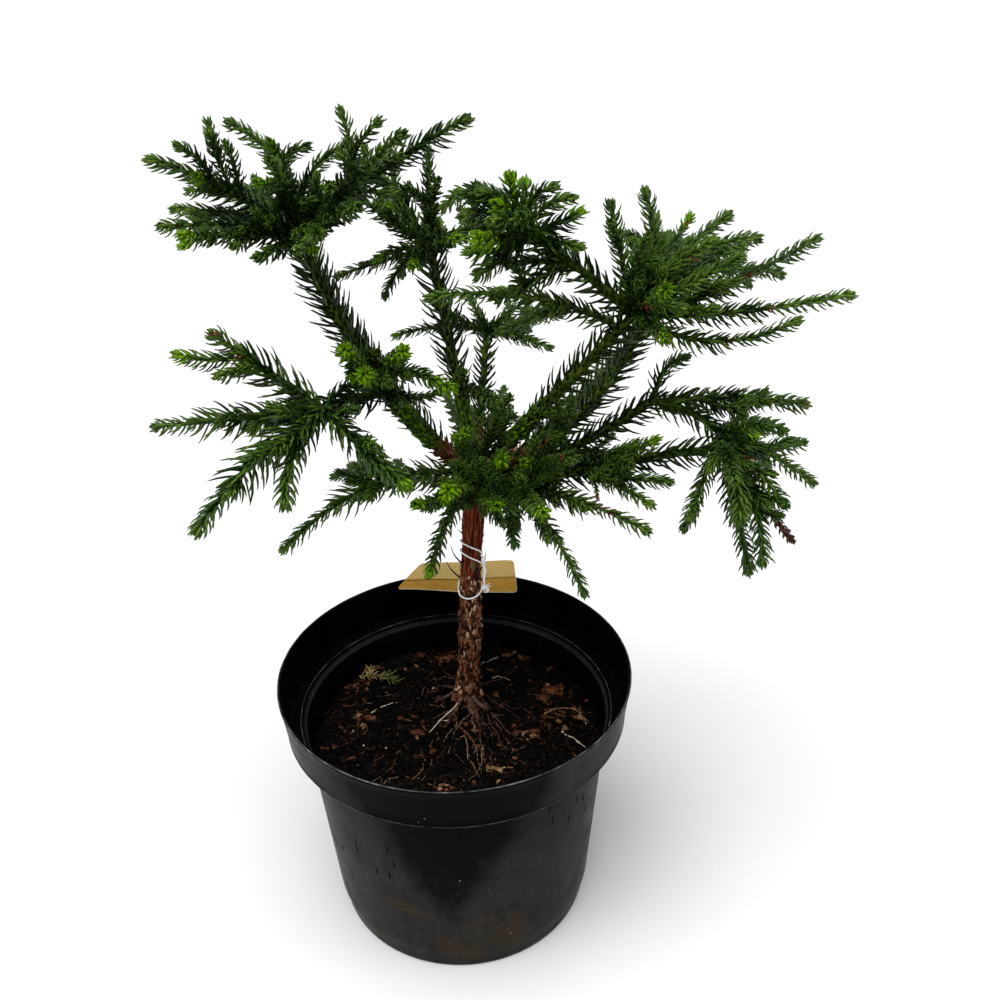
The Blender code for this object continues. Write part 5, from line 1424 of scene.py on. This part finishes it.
# the large pieces: (sheaf, x, y, length, width, thickness, heading, pitch, roll) in mm and degrees
for sheaf, x, y, long, wide, thick, heading, pitch, roll in [
        (red, -70, 74, 20, 11, 3.0, 30, 18, -20), (red, -84, 52, 17, 5.5, 2.2, 8, 4, 10), (tan, -24, 77, 9, 3.4, 1.3, 40, 20, 0),
        (red, -7, 80, 16, 6, 2.4, 15, 10, 25), (red, -15, 73, 12, 4, 1.8, 80, 20, 0), (tan, -74, 9, 11, 6, 2.0, -50, 25, 20),
        (red, -66, 5, 12, 6, 2.2, -20, 5, 5), (red, 73, 31, 24, 15, 4.0, 10, -8, 12), (dark, 78, 45, 19, 13, 3.4, 25, 14, 10),
        (red, 66, 22, 14, 8, 2.4, -30, 5, 10), (tan, 80, -7, 10, 4.5, 2.0, 80, 30, 10), (red, 57, -16, 12, 6, 2.0, 35, 8, 14),
        (tan, 27, -53, 14, 5.5, 2.0, -12, 6, 10), (red, -28, -12, 17, 6, 2.0, -5, 4, 8), (dark, 13, -41, 9, 6, 2.4, 60, 18, 8),
        (red, -33, 5, 6, 2.6, 1.4, -25, 10, 0), (tan, -10, -69, 9, 4, 1.8, 70, 25, 0), (red, -2, -70, 7, 5, 1.8, 0, 10, 10),
        (tan, 74, 9, 13, 4, 1.6, 5, 12, 0), (red, 86, 8, 16, 4, 1.8, -40, 4, 0), (dark, -50, 80, 22, 13, 3.2, -20, 10, 16),
        (red, 40, 84, 12, 6, 2.0, 20, 10, 5), (red, -30, 88, 13, 7, 2.4, -10, 12, 8), (dark, 60, 60, 16, 10, 3.0, 60, 8, 5)]:
    add_chip(sheaf, x * MM, y * MM, long * MM, wide * MM, thick * MM, heading, pitch, roll, 0.0008)
for x, y, s in ((-51, -29, 1.2), (-68, -23, .9), (-78, -5, 1.5), (-20, 40, 1.4), (49, -12, .7)):
    add_lump(white, x * MM, y * MM, s * MM, 0.7, 0.5)
add_lump(tan, 0.030, -0.065, 2.0 * MM, 0.8, 0.6)


def laid_line(points, radius, sheaf, lift=0.0004, sides=5, wobble=0.0):
    """A root or fibre that lies along the compost through x, y points in mm."""
    pts = np.array(points, float) * MM
    u = np.linspace(0, len(pts) - 1, 8 * len(pts))
    x, y = np.interp(u, range(len(pts)), pts[:, 0]), np.interp(u, range(len(pts)), pts[:, 1])
    for _ in range(3):
        x[1:-1] = (x[:-2] + x[1:-1] + x[2:]) / 3
        y[1:-1] = (y[:-2] + y[1:-1] + y[2:]) / 3
    if wobble:
        ph = rng.uniform(0, 6.28)
        x = x + wobble * np.sin(u * 5 + ph)
        y = y + wobble * np.cos(u * 4.1 + ph)
    z = np.array([soil_level(a, b) for a, b in zip(x, y)])
    for _ in range(6):
        z[1:-1] = np.maximum(z[1:-1], (z[:-2] + z[2:]) / 2)
    rad = radius * MM * np.linspace(1.0, 0.45, len(u))
    sheaf.add(*sweep(np.stack([x, y, z + lift + rad * 0.6], 1), rad, sides))


laid_line([(6, 27), (-5, 9), (-12, -3), (-20, -15)], 0.75, white, 0.004)
laid_line([(-7, 0), (-13, -1), (-18, -7)], 0.35, white, 0.001)
# the fan of fine roots that springs from the foot of the trunk
fan = Sheaf()
for line, r, lift in (([(10, 32), (14, 10), (16, -7), (18, -27), (20, -39)], 1.05, 2.0), ([(14, 39), (21, 19), (26, 5), (34, -9), (42, -19), (50, -26)], .65, 2.2),
                      ([(19, 12), (26, -8), (31, -22), (36, -35)], .52, 1.6), ([(17, -4), (23, -10), (28, -16)], .45, 1.8),
                      ([(18, 22), (20, 8), (26, -8)], .6, 2.4), ([(3, 32), (-3, 16), (-4, 4), (-8, -10)], .55, 1.6), ([(16, 16), (19, -4), (15, -22)], .4, 2.6),
                      ([(20, 30), (32, 20), (43, 15), (54, 10)], .34, 1.4), ([(22, 26), (36, 12), (48, 3)], .30, 1.6),
                      ([(-2, 34), (-12, 29), (-22, 27)], .40, 1.2), ([(-2, 38), (-14, 43), (-22, 42)], .35, 1.2),
                      ([(10, 46), (14, 60), (10, 74)], .6, 1.4), ([(0, 44), (-10, 58), (-16, 70)], .5, 1.4), ([(18, 40), (34, 50), (44, 66)], .6, 1.4)):
    laid_line(line, r, fan, lift * MM, 7, 0.0006)
fan.piece("root_fan", ROOT_BARK, "bark")
for line, r in (([(9, 8), (3, -3), (-4, -13), (-10, -22)], .32), ([(7, -21), (8, -40), (13, -52), (18, -63)], .36),
                ([(19, -30), (18, -46), (15, -58), (10, -65)], .36), ([(12, -24), (16, -44), (18, -58)], .28)):
    laid_line(line, r, pale, 0.0022, wobble=0.0005)
laid_line([(65, 4), (77, 10), (88, 11), (98, -2)], .75, tan, 0.0035)
laid_line([(77, -13), (86, -18), (91, -25)], .45, white, 0.0022)
add_stick(red, 0.0072, -0.0190, 0.024, 0.0021, -60, 4, 0.0022, 0.06)
for line, r in (([(-52, -63), (-47, -57), (-38, -55), (-33, -57)], .45), ([(-22, -38), (-24, -50), (-33, -63)], .45),
                ([(-18, -40), (-20, -55), (-28, -66)], .35), ([(0, -1), (-5, -12), (-10, -22)], .5),
                ([(7, -27), (10, -42), (17, -60)], .4), ([(18, -30), (20, -44), (13, -58)], .4),
                ([(5, 5), (-2, -14), (-6, -34)], .5), ([(12, 2), (14, -22), (12, -44)], .55)):
    laid_line(line, r, pale, 0.0006, wobble=0.0006)
for line, r in (([(18, 74), (26, 77), (33, 82)], .35), ([(26, 52), (32, 54), (40, 48)], .35), ([(88, 13), (92, 6), (97, -2)], .5),
                ([(80, -14), (86, -18), (93, -26)], .45), ([(-66, 11), (-56, 18), (-46, 23)], .45)):
    laid_line(line, r, white, 0.0012, wobble=0.0004)
for _ in range(60):
    x, y = in_soil(0.095)
    a = rng.uniform(0, 6.28)
    s = rng.uniform(5, 13)
    laid_line([(x / MM, y / MM), (x / MM + s * math.cos(a), y / MM + s * math.sin(a)),
               (x / MM + 2 * s * math.cos(a + .4), y / MM + 2 * s * math.sin(a + .4))] if math.hypot(x, y) < 0.07 else
              [(x / MM, y / MM), (x * .93 / MM + 3, y * .93 / MM), (x * .88 / MM + 5, y * .88 / MM + 2)],
              rng.uniform(0.16, 0.32), pale if rng.uniform() < .5 else tan, 0.0008, 4, 0.0005)
# a fallen sprig on the compost
sprig_green, sprig_straw, sprig_stem = Sheaf(), Sheaf(), Sheaf()


def lying_sprig(start, end, lift, per_mm, long, split):
    a = np.array((start[0] * MM, start[1] * MM, soil_level(start[0] * MM, start[1] * MM) + lift[0] * MM))
    b = np.array((end[0] * MM, end[1] * MM, soil_level(end[0] * MM, end[1] * MM) + lift[1] * MM))
    limb = Limb(a, b - a, 4, 3)
    n = int(limb.long / MM * per_mm)
    t = (np.arange(n) + 0.5) / n
    d, x, y = frames(limb, t)
    az = np.arange(n) * math.radians(137.5)
    out = x * np.cos(az)[:, None] + y * np.sin(az)[:, None]
    flat = np.where(out[:, 2] < -0.5, 0.5, 1.0)
    sprig_stem.add(*sweep(limb.at(np.linspace(0, 1, 10)), np.linspace(0.7, 0.4, 10) * MM, 6))
    for k, sheaf in enumerate((sprig_straw, sprig_green)):
        m = (t > split) == bool(k)
        if m.any():
            sheaf.add(*needle_block(limb.at(t[m]) + out[m] * 0.0004, d[m], x[m], y[m], az[m], long * MM * flat[m] * rng.uniform(0.8, 1.1, m.sum()),
                                    np.full(m.sum(), 1.15 * MM), np.full(m.sum(), math.radians(52)), np.full(m.sum(), math.radians(30)),
                                    rng.normal(0, .08, m.sum())))


lying_sprig((-80, 61), (-47, 46), (3.5, 3.0), 1.15, 8.0, 0.42)
lying_sprig((-69, 56), (-72, 71), (3.5, 4.5), 1.0, 6.5, 2.0)
lying_sprig((-64, 54), (-52, 57), (3.5, 4.0), 1.1, 6.0, 0.3)
sprig_green.piece("sprig_green", needle_mat("sprig_needle", (0.045, 0.060, 0.012), (0.10, 0.12, 0.03), (0.19, 0.20, 0.07)), "needles")
sprig_straw.piece("sprig_straw", needle_mat("sprig_pale", (0.10, 0.075, 0.022), (0.22, 0.17, 0.06), (0.36, 0.30, 0.13)), "needles")
sprig_stem.piece("sprig_stem", M_TAN, "bark")
dark.piece("bark_bits_dark", M_DARK, "compost", smooth=False)
brown_bits.piece("bark_bits_brown", M_BROWN, "compost", smooth=False)
red.piece("bark_bits_red", M_RED, "compost", smooth=False)
tan.piece("bark_bits_tan", M_TAN, "compost", smooth=False)
pale.piece("fine_roots", M_PALE, "compost")
white.piece("pale_roots", M_WHITE, "compost")

# ------------------------------------------------------------------ card
mat_card, tree, bsdf = new_mat("kraft_card")
v = place_coords(tree, (1, 4, 1))
base_c = ramp(tree, noise_node(tree, v, 240.0, 5.0, 0.7), [(0.32, (0.200, 0.098, 0.009)), (0.5, (0.285, 0.150, 0.018)), (0.7, (0.370, 0.215, 0.038))])
tc = tree.nodes.new("ShaderNodeTexCoord")
sep = tree.nodes.new("ShaderNodeSeparateXYZ")
tree.links.new(tc.outputs["Object"], sep.inputs[0])
# behind the fold the card takes paler streaked kraft; the darker, more saturated front half is partly painted shade,
# where it dips inside the rim
half = tree.nodes.new("ShaderNodeMapRange")
half.inputs["From Min"].default_value = 0.1165
half.inputs["From Max"].default_value = 0.1180
tree.links.new(sep.outputs["Y"], half.inputs["Value"])
streak = ramp(tree, noise_node(tree, place_coords(tree, (0.35, 5, 1)), 300.0, 4.0, 0.7),
              [(0.34, (0.27, 0.175, 0.045)), (0.5, (0.37, 0.255, 0.085)), (0.7, (0.46, 0.34, 0.14))])
base_c = mix_rgb(tree, half.outputs["Result"], base_c, streak)
tree.links.new(base_c, bsdf.inputs["Base Color"])
bsdf.inputs["Roughness"].default_value = 0.55
bsdf.inputs["Specular IOR Level"].default_value = 0.12
bump(tree, noise_node(tree, place_coords(tree, (1, 5, 1)), 900.0, 4.0), 0.3, 0.0002, bsdf)
CARD_FRONT = ((-0.0495, 0.1050), (0.0475, 0.0965))
CARD_BACK = ((-0.0320, 0.1405), (0.0455, 0.1420))
CARD_DIP, CARD_THICK = 0.0012, 0.0006
NU = 60
CARD_ROWS = [0.0, 0.006, 0.02, 0.05, 0.10, 0.16, 0.22, 0.30, 0.38] + [("fold", e) for e in (-.022, -.012, -.006, 0.0, .006, .012, .022)] + \
    [0.62, 0.68, 0.74, 0.80, 0.86, 0.90, 0.94, 0.97, 0.99, 1.0]
NV = len(CARD_ROWS) - 1


def card_point(f, row):
    """A place on the card: f runs left to right; row is a share front to back, or an offset from the fold."""
    front = np.array((CARD_FRONT[0][0] + (CARD_FRONT[1][0] - CARD_FRONT[0][0]) * f,
                      CARD_FRONT[0][1] + (CARD_FRONT[1][1] - CARD_FRONT[0][1]) * f))
    rear = np.array((CARD_BACK[0][0] + (CARD_BACK[1][0] - CARD_BACK[0][0]) * f,
                     CARD_BACK[0][1] + (CARD_BACK[1][1] - CARD_BACK[0][1]) * f))
    edge_x = front[0] + (rear[0] - front[0]) * 0.25
    fold = (0.1164 + 0.0015 * (edge_x / 0.05) - front[1]) / (rear[1] - front[1])
    if isinstance(row, tuple):
        g = fold + row[1]
    else:
        g = fold * row / 0.40 if row <= 0.38 else fold + (1 - fold) * (row - 0.56) / 0.44
    g = min(max(g, 0.0), 1.0)
    # rounded corners
    fx, gy = 2 * f - 1, 2 * g - 1
    cx, cy = 0.075, 0.17
    ex, ey = max(0.0, abs(fx) - (1 - cx)), max(0.0, abs(gy) - (1 - cy))
    if ex > 0 and ey > 0:
        q = math.hypot(ex / cx, ey / cy)
        if q > 1:
            fx = math.copysign(1 - cx + ex / q, fx)
            gy = math.copysign(1 - cy + ey / q, gy)
    f2, g2 = (fx + 1) / 2, (gy + 1) / 2
    front = np.array((CARD_FRONT[0][0] + (CARD_FRONT[1][0] - CARD_FRONT[0][0]) * f2,
                      CARD_FRONT[0][1] + (CARD_FRONT[1][1] - CARD_FRONT[0][1]) * f2))
    rear = np.array((CARD_BACK[0][0] + (CARD_BACK[1][0] - CARD_BACK[0][0]) * f2,
                     CARD_BACK[0][1] + (CARD_BACK[1][1] - CARD_BACK[0][1]) * f2))
    xy = front + (rear - front) * g2
    z = POT_HEIGHT + 0.0010
    if g < fold:
        z -= CARD_DIP * ((fold - g) / fold) ** 1.1
    else:
        z += 0.0008 * ((g - fold) / (1 - fold))
    z -= 0.0007 * math.exp(-((g - fold) / 0.012) ** 2)
    z += 0.0005 * math.sin(f * 5 + 1) * (1 - g) + 0.0003 * math.sin(f * 9)
    return xy[0], xy[1], z


grid = np.array([[card_point(i / NU, CARD_ROWS[j]) for i in range(NU + 1)] for j in range(NV + 1)])
low_grid = grid - np.array((0, 0, CARD_THICK))
verts = np.concatenate([grid.reshape(-1, 3), low_grid.reshape(-1, 3)])
W = NU + 1
quads = []
for j in range(NV):
    for i in range(NU):
        a = j * W + i
        quads.append((a, a + 1, a + W + 1, a + W))
        o = W * (NV + 1)
        quads.append((o + a, o + a + W, o + a + W + 1, o + a + 1))
o = W * (NV + 1)
for i in range(NU):
    quads.append((i + 1, i, o + i, o + i + 1))
    a = NV * W + i
    quads.append((a, a + 1, o + a + 1, o + a))
for j in range(NV):
    a = j * W
    quads.append((a, a + W, o + a + W, o + a))
    a = j * W + NU
    quads.append((a + W, a, o + a, o + a + W))
# a dark line along the fold, painted shade in the crease, and a pale line along the cut edges, a painted highlight
fold_line, edge_highlight = Sheaf(), Sheaf()
line = np.array([card_point(f, ("fold", 0.0)) for f in np.linspace(0.004, 0.996, 50)]) + np.array((0, 0, 0.00012))
fold_line.add(*sweep(line, np.full(50, 0.00085), 6, flat=0.35))
line = np.array([card_point(f, 0.0) for f in np.linspace(0.0, 1.0, 70)]) + np.array((0, -0.0001, -0.0003))
edge_highlight.add(*sweep(line, np.full(70, 0.00038), 6))
line = np.array([card_point(1.0, r) for r in CARD_ROWS]) + np.array((0.0001, 0, -0.0003))
edge_highlight.add(*sweep(line, np.full(len(CARD_ROWS), 0.00034), 6))
fold_line.piece("card_fold", plain_mat("card_fold_mat", [(0.3, (0.006, 0.003, 0.001)), (0.7, (0.016, 0.008, 0.003))], 300), "card")
edge_highlight.piece("card_edge_highlight", plain_mat("card_edge_mat", [(0.3, (0.36, 0.31, 0.20)), (0.7, (0.50, 0.45, 0.33))], 300), "card")
one = Sheaf()
one.add(verts, quads)
one.piece("card", mat_card, "card", ["label_card"], angle=35)

# ------------------------------------------------------------------ string
mat_string = plain_mat("white_twine", [(0.3, (0.90, 0.90, 0.89)), (0.7, (0.99, 0.99, 0.98))], 900, 0.9, (1, 1, 1), 3, 0.0002)
string = Sheaf()


def twine(points, radius=0.00062, lay=0.0036):
    """Two plies twisted about the line."""
    p = np.array(points, float)
    seg = np.concatenate([[0], np.cumsum(np.linalg.norm(np.diff(p, axis=0), axis=1))])
    n = max(12, int(seg[-1] / 0.0007))
    u = np.linspace(0, seg[-1], n)
    line = np.stack([np.interp(u, seg, p[:, i]) for i in range(3)], 1)
    for _ in range(4):
        line[1:-1] = (line[:-2] + 2 * line[1:-1] + line[2:]) / 4
    way = norm(np.gradient(line, axis=0))
    ref = np.array((0.3, 0.2, 1.0))
    x = norm(np.cross(way, ref))
    y = np.cross(way, x)
    for ply in range(2):
        ph = 2 * math.pi * u / lay + math.pi * ply
        off = (x * np.cos(ph)[:, None] + y * np.sin(ph)[:, None]) * radius * 0.52
        string.add(*sweep(line + off, np.full(n, radius * 0.62), 6))


def tie(controls, gap=0.0007):
    """A turn round the trunk through (angle, height in mm) pairs."""
    angles = np.array([c[0] for c in controls], float)
    heights = np.array([c[1] for c in controls], float) * MM
    u = np.linspace(0, len(controls) - 1, 12 * len(controls))
    a, z = np.interp(u, range(len(controls)), angles), np.interp(u, range(len(controls)), heights)
    for _ in range(8):
        a[1:-1] = (a[:-2] + a[1:-1] + a[2:]) / 3
        z[1:-1] = (z[:-2] + z[1:-1] + z[2:]) / 3
    return [tuple(on_trunk(math.radians(b), h, 0.0007 + gap)) for b, h in zip(a, z)]


kx, ky = 0.0226, 0.0262
# twice across the front high up, closed behind
twine(tie([(20, 277), (90, 282), (150, 288), (180, 289.4), (210, 290.4), (242, 290.8), (278, 288.4), (307, 285.2), (340, 280.6)]))
twine(tie([(20, 273), (90, 276), (150, 280.5), (180, 281.8), (210, 282.0), (242, 282.0), (275, 279.6), (300, 277.2), (328, 273.4), (345, 272)]))
# the low turn hangs slack at the front
twine(tie([(15, 255), (90, 256), (150, 255), (172, 253.2), (182, 250), (190, 247.2), (218, 245.6), (248, 245.0), (275, 245.8), (305, 247.4),
           (335, 249.5), (348, 253)], 0.0005))
twine([(kx - .0014, ky - .0002, 0.2806), (kx + .0004, ky - .001, 0.2780), (kx - .0006, ky - .001, 0.2735), (kx + .0006, ky - .001, 0.2680),
       (kx - .0004, ky - .001, 0.2620), (kx + .0005, ky - .002, 0.2555)])
twine([(kx - .0016, ky - .0002, 0.2806), (kx - .0002, ky - .0014, 0.2790), (kx + .0012, ky - .001, 0.2755), (kx + .0007, ky - .001, 0.2712),
       (kx + .0016, ky - .001, 0.2668), (kx + .0004, ky - .001, 0.2618), (kx + .0002, ky - .001, 0.2570)])


def knot(cx, cy, cz, size, turns=2.0):
    pts = []
    for k in range(int(26 * turns)):
        a = 2 * math.pi * k / 26
        r = size * (1 + 0.18 * math.sin(3 * a))
        pts.append((cx + r * math.cos(a), cy + 0.35 * r * math.sin(a * 1.5 + 1), cz + r * math.sin(a) * (0.8 + 0.1 * math.sin(2 * a))))
    twine(pts, 0.0005)


knot(kx + .0002, ky - .001, 0.2790, 0.0007, 1.5)
knot(kx + .0004, ky - .001, 0.2700, 0.0008)
knot(kx + .0004, ky - .001, 0.2655, 0.0007, 1.5)
knot(kx + .0004, ky - .002, 0.2545, 0.0014, 2.5)
knot(kx - .0010, ky - .002, 0.2530, 0.0010, 1.5)
# a small open ring beside the knot, and frayed ends
ring = [(kx + .0016 + .0019 * math.cos(b), ky - .002 + .0008 * math.sin(b), 0.2520 + .0021 * math.sin(b)) for b in np.linspace(-2.2, 3.4, 24)]
twine(ring, 0.0005)
for dx, dz in ((0.0046, 0.0028), (-0.0020, 0.0032), (0.0036, -0.0026), (0.0052, 0.0006)):
    twine([(kx + .0006, ky - .002, 0.2545), (kx + dx * .6, ky - .0024, 0.2545 + dz * .8), (kx + dx, ky - .002, 0.2545 + dz)], 0.00032, 0.002)
# the tail runs down to the card behind the trunk
start = np.array((kx + .0004, ky + .0005, 0.2540))
tail = Limb(start, np.array((0.0236, 0.1000, POT_HEIGHT + 0.0018)) - start, -4.0)
twine(tail.at(np.linspace(0, 1, 12)))
knot(0.0234, 0.1005, POT_HEIGHT + 0.0020, 0.0010, 1.5)
string.piece("string", mat_string, "string", ["string_tie"])

# ------------------------------------------------------------------ floor and light
mat_floor, tree, bsdf = new_mat("floor_mat")
tree.links.new(ramp(tree, noise_node(tree, place_coords(tree), 400.0, 2.0), [(0.3, (0.545, 0.545, 0.545)), (0.7, (0.555, 0.555, 0.555))]),
               bsdf.inputs["Base Color"])
bsdf.inputs["Roughness"].default_value = 0.9
bsdf.inputs["Specular IOR Level"].default_value = 0.1
me = bpy.data.meshes.new("floor")
me.from_pydata([(-40, -40, -0.0004), (40, -40, -0.0004), (40, 40, -0.0004), (-40, 40, -0.0004)], [], [(0, 1, 2, 3)])
floor = bpy.data.objects.new("floor", me)
COLL.objects.link(floor)
me.materials.append(mat_floor)

world = bpy.data.worlds.new("world")
bpy.context.scene.world = world
world.use_nodes = True
bg = world.node_tree.nodes["Background"]
bg.inputs["Color"].default_value = (0.95, 0.97, 1.0, 1.0)
bg.inputs["Strength"].default_value = 0.42


def sun(name, direction, strength, angle, colour=(1, 1, 1)):
    light = bpy.data.lights.new(name, "SUN")
    light.energy = strength
    light.angle = math.radians(angle)
    light.color = colour
    ob = bpy.data.objects.new(name, light)
    ob.rotation_euler = Vector(direction).to_track_quat("-Z", "Y").to_euler()
    COLL.objects.link(ob)


def softbox(name, at, aim, size, power, colour=(1, 1, 1)):
    light = bpy.data.lights.new(name, "AREA")
    light.shape = "RECTANGLE"
    light.size, light.size_y = size
    light.energy = power
    light.color = colour
    ob = bpy.data.objects.new(name, light)
    ob.location = at
    ob.rotation_euler = (Vector(aim) - Vector(at)).to_track_quat("-Z", "Y").to_euler()
    COLL.objects.link(ob)


sun("key", (0.10, 0.22, -1.0), 4.9, 50)
softbox("left", (-1.3, -0.7, 0.9), (0, 0, 0.3), (0.8, 1.2), 7)
softbox("right", (1.4, -0.4, 0.8), (0.05, 0, 0.3), (0.7, 1.2), 5)
